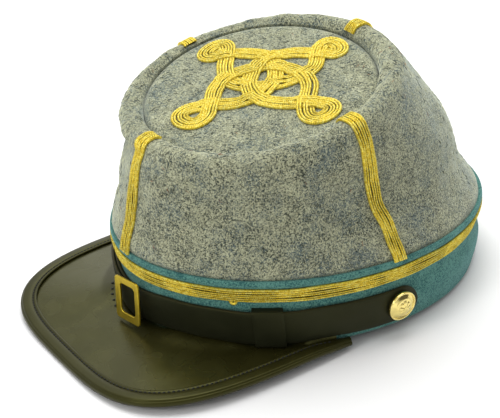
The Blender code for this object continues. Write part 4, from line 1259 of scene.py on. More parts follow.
def knot_crossings(rows, even, girth, owner, reach):
    """Where a row of the knot covers another: the upper row and its steps, the lower row and its.

    Each row was laid round the whole knot before the next, so the inmost lies over all the others.
    """
    found = []
    for upper, lower in ((0, 0), (0, 1), (0, 2), (1, 1), (1, 2), (2, 2)):
        for over in range(len(KNOT_STRANDS)):
            mine = np.flatnonzero(owner == over)
            for under in range(len(KNOT_STRANDS)):
                theirs = np.flatnonzero(owner == under)
                between = rows[upper][mine][:, None] - rows[lower][theirs][None]
                apart = np.linalg.norm(between, axis=-1)
                away = np.abs(even[mine][:, None] - even[theirs][None])
                apart[np.minimum(away, girth - away) < KNOT_NEAR_ALONG] = girth
                covers = apart.min(1) < reach
                if upper == lower:
                    covers &= (over != under) & strand_over(over, under, rows[upper][mine])
                found.append((upper, mine[covers], lower, theirs[apart.argmin(1)[covers]]))
    return found


def eased_ramps(height):
    """The heights along a closed row with their steps widened a little and smoothed to ramps."""
    window = int(KNOT_RAMP / BRAID_STEP)
    wide = np.max([np.roll(height, shift) for shift in range(-window, window + 1)], axis=0)
    spread = np.arange(-3 * window, 3 * window + 1)
    weights = np.exp(-0.5 * (spread / window) ** 2)
    weights = weights / weights.sum()
    return sum(weight * np.roll(wide, shift) for weight, shift in zip(weights, spread))


def knot_heights(rows, even, girth, owner, reach):
    """How high each row of the knot runs: a layer over whatever it covers."""
    crossings = knot_crossings(rows, even, girth, owner, reach)
    heights = np.zeros((len(rows), len(even)))
    for _ in range(KNOT_PASSES):
        raised = np.zeros_like(heights)
        for upper, steps, lower, below in crossings:
            over = heights[lower, below] + KNOT_LAYER
            raised[upper, steps] = np.maximum(raised[upper, steps], over)
        heights = np.minimum(raised, KNOT_MOST_LAYERS * KNOT_LAYER)
    return [eased_ramps(row) for row in heights]


def build_crown_knot(scene):
    """The quatrefoil knot of three rows of soutache, each row riding over what it crosses."""
    path, even, girth, owner = knot_path()
    ahead = np.roll(path, -1, 0) - np.roll(path, 1, 0)
    across = unit(np.stack([-ahead[:, 1], ahead[:, 0]], -1))
    offsets, pitch = row_offsets(KNOT_BRAID_WIDTH)
    rows = [path + across * offset for offset in offsets]
    heights = knot_heights(rows, even, girth, owner, KNOT_REACH_SHARE * pitch)
    sideways, backward, upward = disc_axes()
    body = Body()
    for row, lift in enumerate(heights):

        def place(sides, height):
            flat = path[:, None] + across[:, None] * sides[..., None]
            on_disc = DISC_CENTRE + flat[..., :1] * sideways + flat[..., 1:] * backward
            return on_disc + upward * (height + lift[:, None] + disc_swell(on_disc))[..., None]

        add_soutache(
            body, even, place, row, KNOT_BRAID_WIDTH, scene.kepi_braid, seed=70 + row,
            joined=True, looseness=2.2,
        )
    knot = body.mesh("crown_knot_gold")
    add_piece("crown_knot_gold", knot, knot_gold_finish(scene), "gold_braid", "crown_knot")


def visor_outline(turn):
    """The middle of the binding's roll from above; turn runs from the left end to the right."""
    side, ahead = np.abs(np.cos(turn)) / VISOR_HALF_WIDTH, np.abs(np.sin(turn)) / VISOR_LENGTH
    reach = (side ** VISOR_SQUARENESS + ahead ** VISOR_SQUARENESS) ** (-1.0 / VISOR_SQUARENESS)
    return points_at(reach * np.cos(turn), VISOR_ROOT_Y - reach * np.sin(turn), 0.0)


def visor_edge(turn):
    """The middle of the binding's roll: it drops to the front and rises to its corners."""
    point = visor_outline(turn)
    x, y = point[..., 0], point[..., 1]
    ahead = np.maximum(0.0, VISOR_DROP_START_Y - y)
    rise = VISOR_CORNER_RISE * (x / VISOR_HALF_WIDTH) ** 2 * ahead / (100.0 * MM)
    sink = VISOR_END_SINK * (1.0 - smooth_step((VISOR_ROOT_Y - y) / VISOR_END_LENGTH))
    return points_at(x, y, VISOR_EDGE_Z - VISOR_DROP * ahead + rise - sink)


def visor_hem_angle(turn):
    """The angle round the head where the visor's inner edge meets the band."""
    share = (turn - VISOR_PLATE_START) / (math.pi - 2.0 * VISOR_PLATE_START)
    return -(VISOR_HEM_START + share * (math.pi - 2.0 * VISOR_HEM_START))


def visor_hem(turn):
    """The visor's inner edge: it lies against the band, lowest at the front under the buckle."""
    angle = visor_hem_angle(turn)
    from_front = np.abs(np.degrees(angle) + 90.0)
    rise = VISOR_HEM_SIDE_RISE * part_way(from_front, VISOR_HEM_RISE_FROM, VISOR_HEM_RISE_TO)
    sink = VISOR_HEM_END_SINK * part_way(from_front, VISOR_HEM_SINK_FROM, VISOR_HEM_SINK_TO)
    top = VISOR_HEM_FRONT_Z + rise - sink
    point = cloth_point(angle, np.maximum(-1.0, top / BAND_HEIGHT), soft=False)
    point = point + oval_outward(angle) * GAP
    point[..., 2] = top - VISOR_THICKNESS / 2.0
    return point


def visor_lip(turn):
    """How far the leather rises where it meets the strap, except under the keeper."""
    degrees = np.degrees(visor_hem_angle(turn))
    from_front = np.abs(degrees + 90.0)
    lip = VISOR_LIP
    lip += VISOR_LIP_SIDE_RISE * part_way(from_front, VISOR_HEM_RISE_FROM, VISOR_HEM_RISE_TO)
    lip += VISOR_HEM_END_SINK * part_way(from_front, VISOR_HEM_SINK_FROM, VISOR_HEM_SINK_TO)
    return lip * part_way(np.abs(degrees - KEEPER_ANGLE), KEEPER_HALF_ANGLE, VISOR_LIP_FROM_KEEPER)


def visor_inward(turn):
    """Down the plate from its edge towards the band, one metre of distance square to the edge."""
    along = visor_outline(turn + SLOPE_STEP) - visor_outline(turn - SLOPE_STEP)
    square = unit(points_at(-along[..., 1], along[..., 0], 0.0))
    inward = visor_hem(turn) - visor_edge(turn)
    facing = (square * inward).sum(-1, keepdims=True)
    square = np.where(facing < 0.0, -square, square)
    return inward / np.maximum(np.abs(facing), 0.3 * np.linalg.norm(inward, axis=-1, keepdims=True))


def visor_ripple(x, y):
    """Shallow ripples of the pressed leather."""
    waves = SOFT_WAVES[VISOR_FIRST_WAVE:VISOR_LAST_WAVE]
    return VISOR_RIPPLE * sum_of_waves(x * VISOR_SIDE_PACE, y * VISOR_FRONT_PACE, waves)


def build_visor(scene):
    """The leather plate, from the band into the fold of the binding."""
    turns = np.linspace(VISOR_PLATE_START, math.pi - VISOR_PLATE_START, 220)
    hem = visor_hem(turns)[:, None]
    rim = (visor_edge(turns) - visor_inward(turns) * VISOR_TUCK)[:, None]
    share = np.concatenate([[0.0, 0.007, 0.014, 0.022, 0.032], np.linspace(0.045, 1.0, 40)])
    share = share[None, :, None]
    middle = hem + (rim - hem) * share
    level = hem[..., 2:]
    settle = np.clip(share / VISOR_LEVEL_SHARE, 0.0, 1.0)
    start = (hem + (rim - hem) * VISOR_LEVEL_SHARE)[..., 2:]
    past_level = (share - VISOR_LEVEL_SHARE) / (1.0 - VISOR_LEVEL_SHARE)
    sloped = start + (rim[..., 2:] - level) * past_level
    sloped = sloped + (level - start) * (1.0 - smooth_step(share))
    flat = np.where(share < VISOR_LEVEL_SHARE, level, np.minimum(level, sloped))
    middle[..., 2:] = flat * smooth_step(settle) + level * (1.0 - smooth_step(settle))
    lip_fade = 1.0 - smooth_step(share[..., 0] / VISOR_LIP_SHARE)
    middle[..., 2] += visor_lip(turns)[:, None] * lip_fade
    fade = smooth_step(share * 8.0) * smooth_step((1.0 - share) * 12.0)
    ripple = visor_ripple(middle[..., 0], middle[..., 1])[..., None] * fade
    half = np.array((0.0, 0.0, VISOR_THICKNESS / 2.0))
    top, bottom = middle + half + ripple * np.array((0.0, 0.0, 1.0)), middle - half
    body = Body()
    rings = np.concatenate([top, bottom[:, ::-1]], 1)
    body.add_tube(rings, cut_edge=np.zeros(rings.shape[:2]))
    leather = leather_finish(scene, "visor_leather", scene.kepi_leather.olive, VISOR_LOOK)
    add_piece("visor_leather", body.mesh("visor_leather"), leather, "black_leather", "visor")


def binding_sizes(edge):
    """The binding's roll radius and its widths above and below, narrower towards its ends."""
    thicker = smooth_step((VISOR_ROOT_Y - edge[..., 1]) / BINDING_ROLL_TAPER)
    grown = smooth_step((VISOR_ROOT_Y - edge[..., 1]) / BINDING_WIDTH_TAPER)
    radius = BINDING_END_RADIUS + (BINDING_RADIUS - BINDING_END_RADIUS) * thicker
    width = BINDING_END_WIDTH + (BINDING_WIDTH - BINDING_END_WIDTH) * grown
    under = BINDING_END_WIDTH + (BINDING_UNDER_WIDTH - BINDING_END_WIDTH) * grown
    return radius, width, under, grown


def build_visor_binding(scene):
    """Leather rolled over the visor's edge, with a stitched groove and a raised inner edge."""
    turns = np.linspace(BINDING_START, math.pi - BINDING_START, 520)
    edge, inward = visor_edge(turns), visor_inward(turns)
    radius, width, under, grown = binding_sizes(edge)
    inside = radius - BINDING_LEATHER
    bows = np.radians(np.linspace(90.0, 270.0, 25))
    from_crease = (bows - BINDING_CREASE_TURN) / BINDING_CREASE_SPREAD
    notched = [radius - BINDING_CREASE * math.exp(-place ** 2) for place in from_crease]
    groove_at = width - radius - BINDING_GROOVE_INSET
    end = width - radius
    raised_edge = [
        (end, inside), (end, radius - 0.55 * MM), (end - 0.25 * MM, radius - 0.15 * MM),
        (end - 0.7 * MM, radius - 0.02 * MM),
    ]
    groove = [
        (groove_at + BINDING_GROOVE_HALF, radius - 0.15 * MM),
        (groove_at, radius - BINDING_GROOVE * grown),
        (groove_at - BINDING_GROOVE_HALF, radius - 0.1 * MM * grown),
        (groove_at * 0.6, radius + 0.12 * MM), (groove_at * 0.3, radius + 0.08 * MM),
    ]
    roll = [(size * math.cos(bow), size * math.sin(bow)) for bow, size in zip(bows, notched)]
    hollow = [
        (under - radius, -radius), (under - radius, -inside), (-0.7 * inside, -inside),
        (-inside, -0.5 * inside), (-inside, 0.5 * inside), (-0.7 * inside, inside),
    ]
    profile = raised_edge + groove + roll + hollow
    distance = np.stack([np.broadcast_to(place[0], turns.shape) for place in profile], 1)
    height = np.stack([np.broadcast_to(place[1], turns.shape) for place in profile], 1)
    rings = edge[:, None] + inward[:, None] * distance[..., None] + points_at(0.0, 0.0, height)
    body = Body()
    body.add_tube(rings, cut_edge=np.zeros(rings.shape[:2]))
    leather = leather_finish(scene, "binding_leather", scene.kepi_leather.olive, BINDING_LOOK)
    binding = body.mesh("binding_leather")
    add_piece("binding_leather", binding, leather, "black_leather", "visor_binding")


def add_stitch(body, start, end, radius):
    """One stitch of thread: a rounded bar that dips into the leather at both ends."""
    forward = end - start
    up = np.array((0.0, 0.0, 1.0))
    side = unit(np.cross(up, forward))
    ways = np.array((0.0, 0.12, 0.35, 0.65, 0.88, 1.0))
    arch = np.sin(ways * math.pi) * radius * 0.9 - radius * 0.5
    size = radius * np.array((0.35, 0.85, 1.0, 1.0, 0.85, 0.35))
    middle = start + forward * ways[:, None] + up * arch[:, None]
    ring = ring_round(side, up, angles_round(6))
    body.add_tube(middle[:, None] + ring[None] * size[:, None, None])


def build_binding_stitches(scene):
    """A row of black stitches in the binding's groove."""
    turns = np.linspace(STITCHES_START, math.pi - STITCHES_START, 1500)
    edge, inward = visor_edge(turns), visor_inward(turns)
    radius, width, _, _ = binding_sizes(edge)
    line = edge + inward * (width - radius - BINDING_GROOVE_INSET)[:, None]
    line = line + points_at(0.0, 0.0, radius - STITCH_SINK)
    run = np.concatenate([[0.0], np.cumsum(np.linalg.norm(np.diff(line, axis=0), axis=1))])
    leather = scene.kepi_leather
    body = Body()
    pitch = leather.stitch_length + leather.stitch_gap
    for first in np.arange(0.0, run[-1] - leather.stitch_length, pitch):
        ends = [
            np.array([np.interp(at, run, line[:, axis]) for axis in range(3)])
            for at in (first, first + leather.stitch_length)
        ]
        add_stitch(body, ends[0], ends[1], STITCH_RADIUS)
    thread = shared("waxed_thread", waxed_thread)
    add_piece("binding_stitches", body.mesh("binding_stitches"), thread, "black_leather")


def strap_level(angle, across):
    """The band level of a place across the strap; the strap dips at the buckle."""
    from_front = np.abs(np.degrees(angle) + 90.0)
    dip = STRAP_FRONT_DIP * (1.0 - part_way(from_front, 0.0, STRAP_DIP_REACH))
    return (STRAP_Z - dip + across) / BAND_HEIGHT


def strap_lift(angle):
    """The strap lies on the band and stands off a little where the keeper passes behind it."""
    from_keeper = np.abs(np.degrees(angle) - KEEPER_ANGLE)
    near_keeper = 1.0 - part_way(from_keeper, KEEPER_LIFT_FROM, KEEPER_LIFT_TO)
    return GAP + (KEEPER_LEATHER + GAP) * near_keeper


def corner_points(side, top, rounding, turns):
    """Points round the corner at this side and top."""
    return [
        (side - rounding + rounding * math.cos(turn), top - rounding + rounding * math.sin(turn))
        for turn in turns
    ]


def mirrored(points):
    """The same points on the other side, in the other order."""
    return [(-x, y) for x, y in reversed(points)]


def strap_rings(angles, half_widths, lows, thickness):
    """Sections of a strap at these angles: a flat back, round edges and a slightly full face."""
    turns = np.radians(np.linspace(0.0, 90.0, 4))
    face = np.linspace(-1.0, 1.0, 9)[1:-1]
    rows = []
    for half, low in zip(half_widths, lows):
        edge, high = min(STRAP_ROUNDING, 0.6 * half), low + thickness
        right = corner_points(half, high, edge, turns)[::-1]
        middle = [
            ((half - edge) * share, high + STRAP_FULLNESS * (1.0 - share * share)) for share in face
        ]
        back = [(half, low + STRAP_BACK_ROUNDING), (half - STRAP_BACK_ROUNDING, low)]
        rows.append(mirrored(right) + middle + right + back + mirrored(back))
    profile = np.array(rows)
    angles = angles[:, None]
    return off_cloth(angles, strap_level(angles, profile[..., 0]), profile[..., 1]), profile


def round_end(distance, half_width):
    """Half the width of a strap with a round end, this far from its tip."""
    inside = np.clip(half_width - distance, 0.0, half_width)
    return np.sqrt(np.maximum(half_width ** 2 - inside ** 2, (STRAP_TIP_SHARE * half_width) ** 2))


def cut_edge_value(profile, thickness, lows):
    """1 on the raw side edges of a strap and 0 on its face and back."""
    half = np.abs(profile[..., 0]).max(1, keepdims=True)
    near_side = 1.0 - np.clip((half - np.abs(profile[..., 0])) / CUT_EDGE_REACH, 0.0, 1.0)
    below_face = np.clip((lows[:, None] + thickness - profile[..., 1]) / CUT_EDGE_FACE, 0.0, 1.0)
    return near_side * below_face


def build_chin_strap(scene):
    """The strap from button to button round the front of the band, with round ends."""
    ends = STRAP_END_ANGLE - np.array((0.0, 0.06, 0.2, 0.5, 0.9, 1.4, 2.0, 2.7, 3.5, 4.4, 5.2))
    middle = np.linspace(STRAP_END_ANGLE - 6.0, -180.0 - STRAP_END_ANGLE + 6.0, 210)
    degrees = np.concatenate([ends, middle, -180.0 - ends[::-1]])
    angles = np.radians(degrees)
    from_end = np.minimum(STRAP_END_ANGLE - degrees, degrees + 180.0 + STRAP_END_ANGLE)
    widths = round_end(np.radians(from_end) * SEAM_HALF_LENGTH, STRAP_WIDTH / 2.0)
    lows = strap_lift(angles)
    rings, profile = strap_rings(angles, widths, lows, STRAP_THICKNESS)
    body = Body()
    body.add_tube(rings, cut_edge=cut_edge_value(profile, STRAP_THICKNESS, lows))
    strap = body.mesh("chin_strap_leather")
    add_piece("chin_strap_leather", strap, strap_finish(scene), "black_leather", "chin_strap")


def build_strap_tongue(scene):
    """The second layer of the strap, from the buckle towards the wearer's right."""
    degrees = np.concatenate([
        np.linspace(TONGUE_START_ANGLE, TONGUE_END_ANGLE + 6.0, 60),
        TONGUE_END_ANGLE + np.array((5.0, 4.0, 3.0, 2.2, 1.5, 0.9, 0.5, 0.2, 0.06, 0.0)),
    ])
    angles = np.radians(degrees)
    widths = round_end(np.radians(degrees - TONGUE_END_ANGLE) * SEAM_HALF_WIDTH, STRAP_WIDTH / 2.0)
    lows = strap_lift(angles) + STRAP_THICKNESS + GAP
    rings, profile = strap_rings(angles, widths, lows, TONGUE_THICKNESS)
    body = Body()
    body.add_tube(rings, cut_edge=cut_edge_value(profile, TONGUE_THICKNESS, lows))
    tongue = body.mesh("strap_tongue_leather")
    add_piece("strap_tongue_leather", tongue, strap_finish(scene), "black_leather", "strap_tongue")


def build_visor_stitches(scene):
    """Five stitches that hold the visor to the band, beside the buckle on the wearer's right."""
    body = Body()
    for stitch in VISOR_STITCHES:
        inner, outer = np.array(stitch.inner) * MM, np.array(stitch.outer) * MM
        add_stitch(body, inner, outer, VISOR_STITCH_RADIUS)
    thread = shared("waxed_thread", waxed_thread)
    add_piece("visor_stitches", body.mesh("visor_stitches"), thread, "black_leather")


def build_strap_keeper(scene):
    """A leather loop folded round the strap."""
    half = STRAP_WIDTH / 2.0 + GAP
    low = float(strap_lift(np.array(math.radians(KEEPER_ANGLE)))) - GAP
    high = low + STRAP_THICKNESS + 2.0 * GAP
    turns = np.radians(np.linspace(0.0, 90.0, 6))

    def loop(grow, back, rounding):
        """Round the loop: up one side, across the face and down the other side."""
        side, top = half + grow, high + grow
        quarter = corner_points(side, top, rounding, turns)
        face = [(x, top) for x in np.linspace(side - rounding, rounding - side, 9)[1:-1]]
        return np.array([(side, back)] + quarter + face + mirrored(quarter) + [(-side, back)])

    outside = loop(KEEPER_LEATHER, low - KEEPER_LEATHER + KEEPER_BACK_GAP, KEEPER_CORNER)
    inside = loop(0.0, low, KEEPER_INNER_CORNER)
    first, last = KEEPER_ANGLE - KEEPER_HALF_ANGLE, KEEPER_ANGLE + KEEPER_HALF_ANGLE
    angles = np.radians(np.linspace(first, last, KEEPER_SECTIONS))
    sections = np.arange(KEEPER_SECTIONS)
    thinned = 1.0 - smooth_step(np.minimum(sections, sections[::-1]) / 2.0)
    grids = []
    for profile, thinning in ((outside, KEEPER_EDGE_THINNING), (inside, 0.0)):
        across, heights = profile[None, :, 0], profile[None, :, 1]
        heights = heights - thinning * thinned[:, None] * (heights > high)
        grids.append(off_cloth(angles[:, None], strap_level(angles[:, None], across), heights))
    section = np.concatenate([grids[0], grids[1][::-1]], 0)
    body = Body()
    rings = np.swapaxes(section, 0, 1)
    body.add_tube(rings, joined=True, cut_edge=np.zeros(rings.shape[:2]))
    keeper = body.mesh("strap_keeper_leather")
    add_piece("strap_keeper_leather", keeper, strap_finish(scene), "black_leather", "strap_keeper")


def rounded_frame(width, height, corner, per_corner):
    """A rectangle with round corners, as points from its middle, the same number for every size."""
    turns = np.radians(np.linspace(0.0, 90.0, per_corner))
    points = []
    for quarter, (sx, sy) in enumerate(((1, 1), (-1, 1), (-1, -1), (1, -1))):
        for turn in turns:
            heading = turn + quarter * math.pi / 2.0
            points.append((
                sx * (width / 2.0 - corner) + corner * math.cos(heading),
                sy * (height / 2.0 - corner) + corner * math.sin(heading),
            ))
    return np.array(points)


def build_strap_buckle(scene):
    """A flat brass frame with round corners and softened edges."""
    bevel, half = BUCKLE_BEVEL, BUCKLE_THICKNESS / 2.0
    edge = [(0.0, bevel - half), (0.0, half - bevel)]
    edge += [(0.3 * bevel, half - 0.3 * bevel), (bevel, half)]
    outer, opening = (BUCKLE_WIDTH, BUCKLE_HEIGHT), (BUCKLE_OPENING_WIDTH, BUCKLE_OPENING_HEIGHT)
    runs = [(outer, -inset, front) for inset, front in edge]
    runs += [(opening, inset, front) for inset, front in reversed(edge)]
    runs += [(opening, bevel, -half), (outer, -bevel, -half)]
    rings = []
    for (width, height), grow, front in runs:
        corner = BUCKLE_CORNER + grow
        line = rounded_frame(width + 2.0 * grow, height + 2.0 * grow, corner, per_corner=10)
        line = line + BUCKLE_OPENING_PLACE * (width == BUCKLE_OPENING_WIDTH)
        rings.append(points_at(line[:, 0], -front, line[:, 1]))
    rings = np.swapaxes(np.array(rings), 0, 1)
    upright = Matrix.Rotation(-BUCKLE_TURN, 3, "Y") @ Matrix.Rotation(BUCKLE_LEAN, 3, "X")
    placed = rings @ np.array(Matrix.Rotation(BUCKLE_YAW, 3, "Z") @ upright).T + BUCKLE_CENTRE
    body = Body()
    body.add_tube(placed, joined=True)
    brass = shared("smooth_brass", lambda name: smooth_brass(scene.kepi_metal, name))
    buckle = body.mesh("strap_buckle_brass", sharp_angle=20.0)
    add_piece("strap_buckle_brass", buckle, brass, "brass", "strap_buckle")


def button_height(share, turn, petals):
    """The button's face: a dome with a rosette of petals inside a fine ring, and a raised rim."""
    inside = BUTTON_RADIUS - BUTTON_RIM
    radius = share * BUTTON_RADIUS
    dome = BUTTON_HEIGHT - (BUTTON_HEIGHT - BUTTON_EDGE) * np.clip(radius / inside, 0.0, 1.0) ** 2
    petal = np.abs(np.cos(turn * petals / 2.0)) ** 0.6
    tip = ROSETTE_REACH * inside * (0.72 + 0.28 * petal)
    bloom = smooth_step((tip - radius) / (0.5 * MM)) * (0.35 + 0.65 * petal)
    core = smooth_step((ROSETTE_CORE - radius) / (0.4 * MM))
    ring = np.exp(-((radius - BUTTON_RING_PLACE * inside) / BUTTON_RING) ** 2)
    raised = ROSETTE_RELIEF * bloom * (1.0 - core) + ROSETTE_CORE_RELIEF * core + BUTTON_RING * ring
    rim = smooth_step((radius - inside) / (0.3 * MM))
    rim = rim * (1.0 - smooth_step((radius - 0.965 * BUTTON_RADIUS) / (0.3 * MM)))
    return dome + raised + (BUTTON_RIM_TOP - BUTTON_EDGE) * rim


def build_buttons(scene):
    """Two gold buttons: a domed face with a rosette and a raised rim, flat against the strap."""
    turns = angles_round(112)[None, :]
    dome, rim = np.linspace(0.02, 0.86, 44), np.linspace(0.87, 1.0, 12)
    shares = np.concatenate([[0.004], dome, rim])[:, None]
    face_height = button_height(shares, turns, scene.kepi_metal.petals)
    face_height[-1] -= BUTTON_EDGE_ROUNDING
    radius = shares * BUTTON_RADIUS
    face = points_at(radius * np.cos(turns), radius * np.sin(turns), face_height)
    sides = np.array(((1.0, 0.9 * MM), (0.97, 0.25 * MM), (0.88, 0.0), (0.5, 0.0), (0.004, 0.0)))
    reach, lifted = sides[:, :1] * BUTTON_RADIUS, sides[:, 1:]
    back = points_at(reach * np.cos(turns), reach * np.sin(turns), lifted)
    rings = np.concatenate([face, back])
    gilt = shared("polished_gilt", lambda name: polished_gilt(scene.kepi_metal, name))
    for name, degrees in (("left_button", BUTTON_ANGLE), ("right_button", 180.0 - BUTTON_ANGLE)):
        angle = np.array(math.radians(degrees))
        level = np.array(BUTTON_Z / BAND_HEIGHT)
        stand_off = strap_lift(angle) + STRAP_THICKNESS + GAP
        spot, normal = off_cloth(angle, level, stand_off), cloth_normal(angle, level)
        turned = Vector(normal).to_track_quat("Z", "Y").to_matrix()
        body = Body()
        body.add_tube(rings @ np.array(turned).T + spot)
        button = body.mesh(f"{name}_gilt", sharp_angle=60.0)
        add_piece(f"{name}_gilt", button, gilt, "polished_gold", name)


def dim_towards_the_room(tree, background, stage):
    """Even light from all round, but dimmer from the room on the cap's left side."""
    facing = tree.nodes.new("ShaderNodeVectorMath")
    facing.operation = "DOT_PRODUCT"
    tree.links.new(tree.nodes.new("ShaderNodeTexCoord").outputs["Generated"], facing.inputs[0])
    facing.inputs[1].default_value = unit(np.array(ROOM_DIRECTION))
    dimmed = tree.nodes.new("ShaderNodeMapRange")
    dimmed.interpolation_type = "SMOOTHSTEP"
    tree.links.new(facing.outputs["Value"], dimmed.inputs["Value"])
    dimmed.inputs["From Min"].default_value = ROOM_EDGE
    dimmed.inputs["From Max"].default_value = ROOM_MIDDLE
    dimmed.inputs["To Min"].default_value = stage.sky
    dimmed.inputs["To Max"].default_value = stage.sky * stage.room
    tree.links.new(dimmed.outputs["Result"], background.inputs["Strength"])


def build_stage(scene):
    """A pale floor, an even surrounding light, a broad lamp overhead and the camera."""
    stage = scene.kepi_stage
    world = bpy.data.worlds.new("surroundings")
    world.use_nodes = True
    background = world.node_tree.nodes["Background"]
    background.inputs["Color"].default_value = (1.0, 1.0, 1.0, 1.0)
    dim_towards_the_room(world.node_tree, background, stage)
    scene.world = world
    mesh = bpy.data.meshes.new("floor")
    half = FLOOR_HALF
    square = [(-half, -half, 0.0), (half, -half, 0.0), (half, half, 0.0), (-half, half, 0.0)]
    mesh.from_pydata(square, [], [(0, 1, 2, 3)])
    paper = Finish("floor_paper", Roughness=0.9, Specular_IOR_Level=0.1)
    mesh.materials.append(paper.shade(Base_Color=stage.floor))
    floor = bpy.data.objects.new("floor", mesh)
    scene.collection.objects.link(floor)
    lamps = [add_lamp(scene, lamp, getattr(stage, lamp.power)) for lamp in STAGE_LAMPS]
    add_camera(scene)
    scene.view_settings.view_transform = "Standard"


def add_lamp(scene, lamp, watts):
    """A round lamp that faces the middle of the cap."""
    light = bpy.data.lights.new(lamp.name, "AREA")
    light.shape = "DISK"
    light.size = lamp.size
    light.energy = watts
    stand = bpy.data.objects.new(lamp.name, light)
    stand.location = lamp.place
    stand.rotation_euler = (LAMP_TARGET - stand.location).to_track_quat("-Z", "Y").to_euler()
    scene.collection.objects.link(stand)
    return stand


def add_camera(scene):
    """The camera at the photograph's place, turned with the standing cap."""
    data = bpy.data.cameras.new("camera")
    data.sensor_width = SENSOR_WIDTH
    data.lens = SENSOR_WIDTH * FOCAL_LENGTH_IN_PIXELS / PICTURE_WIDTH
    camera = bpy.data.objects.new("camera", data)
    scene.collection.objects.link(camera)
    back, right = unit(CAMERA_BACK), unit(CAMERA_RIGHT)
    turned = Matrix(np.stack([right, np.cross(back, right), back], 1).tolist()).to_4x4()
    camera.matrix_world = stand_matrix() @ Matrix.Translation(CAMERA_PLACE) @ turned
    data.clip_start, data.clip_end = 0.01, 20.0
    scene.camera = camera


class KEPI_OT_crown_wool(bpy.types.Operator):
    """Build the wool wall and its rim roll"""

    bl_idname = "kepi.crown_wool"
    bl_label = "Crown Wool"

    def execute(self, context):
        build_crown_wool(context.scene)
        return {"FINISHED"}


class KEPI_OT_crown_disc(bpy.types.Operator):
    """Build the round top of the crown"""

    bl_idname = "kepi.crown_disc"
    bl_label = "Crown Disc"

    def execute(self, context):
        build_crown_disc(context.scene)
        return {"FINISHED"}


class KEPI_OT_wool_fibres(bpy.types.Operator):
    """Lay the loose fibres on the wool"""

    bl_idname = "kepi.wool_fibres"
    bl_label = "Wool Fibres"

    def execute(self, context):
        build_wool_fibres(context.scene)
        return {"FINISHED"}


class KEPI_OT_band_cloth(bpy.types.Operator):
    """Build the teal band"""

    bl_idname = "kepi.band_cloth"
    bl_label = "Band Cloth"

    def execute(self, context):
        build_band_cloth(context.scene)
        return {"FINISHED"}


class KEPI_OT_band_braid(bpy.types.Operator):
    """Build the gold braid round the band"""

    bl_idname = "kepi.band_braid"
    bl_label = "Band Braid"

    def execute(self, context):
        build_band_braid(context.scene)
        return {"FINISHED"}


class KEPI_OT_upright_braids(bpy.types.Operator):
    """Build the four gold braids up the crown"""

    bl_idname = "kepi.upright_braids"
    bl_label = "Upright Braids"

    def execute(self, context):
        build_upright_braids(context.scene)
        return {"FINISHED"}


class KEPI_OT_crown_knot(bpy.types.Operator):
    """Build the gold knot on the crown's top"""

    bl_idname = "kepi.crown_knot"
    bl_label = "Crown Knot"

    def execute(self, context):
        build_crown_knot(context.scene)
        return {"FINISHED"}


class KEPI_OT_visor(bpy.types.Operator):
    """Build the leather visor"""

    bl_idname = "kepi.visor"
    bl_label = "Visor"

    def execute(self, context):
        build_visor(context.scene)
        return {"FINISHED"}


class KEPI_OT_visor_binding(bpy.types.Operator):
    """Build the visor's rolled binding and its stitches"""

    bl_idname = "kepi.visor_binding"
    bl_label = "Visor Binding"

    def execute(self, context):
        build_visor_binding(context.scene)
        build_binding_stitches(context.scene)
        build_visor_stitches(context.scene)
        return {"FINISHED"}


class KEPI_OT_chin_strap(bpy.types.Operator):
    """Build the chin strap, its second layer and its keeper"""

    bl_idname = "kepi.chin_strap"
    bl_label = "Chin Strap"

    def execute(self, context):
        build_chin_strap(context.scene)
        build_strap_tongue(context.scene)
        build_strap_keeper(context.scene)
        return {"FINISHED"}


class KEPI_OT_strap_buckle(bpy.types.Operator):
    """Build the brass buckle"""

    bl_idname = "kepi.strap_buckle"
    bl_label = "Strap Buckle"

    def execute(self, context):
        build_strap_buckle(context.scene)
        return {"FINISHED"}


class KEPI_OT_buttons(bpy.types.Operator):
    """Build the two gold buttons"""

    bl_idname = "kepi.buttons"
    bl_label = "Buttons"

    def execute(self, context):
        build_buttons(context.scene)
        return {"FINISHED"}


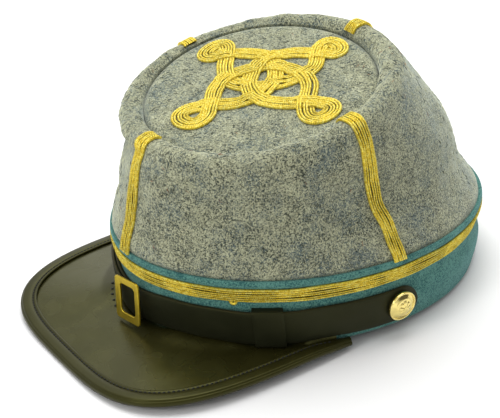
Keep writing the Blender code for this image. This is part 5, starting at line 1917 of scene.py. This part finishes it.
class KEPI_OT_stage(bpy.types.Operator):
    """Build the floor, the light and the camera"""

    bl_idname = "kepi.stage"
    bl_label = "Stage"

    def execute(self, context):
        build_stage(context.scene)
        return {"FINISHED"}


BUILD_ORDER = (
    KEPI_OT_crown_wool, KEPI_OT_crown_disc, KEPI_OT_wool_fibres, KEPI_OT_band_cloth,
    KEPI_OT_band_braid, KEPI_OT_upright_braids, KEPI_OT_crown_knot, KEPI_OT_visor,
    KEPI_OT_visor_binding, KEPI_OT_chin_strap, KEPI_OT_strap_buckle, KEPI_OT_buttons, KEPI_OT_stage,
)
SETTINGS = {
    "kepi_cloth": ClothSettings, "kepi_braid": BraidSettings, "kepi_leather": LeatherSettings,
    "kepi_metal": MetalSettings, "kepi_stage": StageSettings,
}


class KEPI_PT_panel(bpy.types.Panel):
    """Lists the cap's settings and its pieces"""

    bl_idname = "KEPI_PT_panel"
    bl_label = "Kepi Cap"
    bl_space_type = "VIEW_3D"
    bl_region_type = "UI"
    bl_category = "Kepi"

    def draw(self, context):
        for owner, group in SETTINGS.items():
            box = self.layout.box()
            for name in group.__annotations__:
                box.prop(getattr(context.scene, owner), name)
        for operator in BUILD_ORDER:
            self.layout.operator(operator.bl_idname)


def register():
    """Adds the settings, operators and panel to the program."""
    for group in SETTINGS.values():
        bpy.utils.register_class(group)
    for owner, group in SETTINGS.items():
        setattr(bpy.types.Scene, owner, PointerProperty(type=group))
    for operator in BUILD_ORDER:
        bpy.utils.register_class(operator)
    bpy.utils.register_class(KEPI_PT_panel)


def unregister():
    """Takes them out again."""
    bpy.utils.unregister_class(KEPI_PT_panel)
    for operator in reversed(BUILD_ORDER):
        bpy.utils.unregister_class(operator)
    for owner in SETTINGS:
        delattr(bpy.types.Scene, owner)
    for group in SETTINGS.values():
        bpy.utils.unregister_class(group)


def main():
    """Builds every piece and the stage in order."""
    register()
    for operator in BUILD_ORDER:
        family, name = operator.bl_idname.split(".")
        getattr(getattr(bpy.ops, family), name)()
    bpy.context.view_layer.update()


if __name__ == "__main__":
    main()
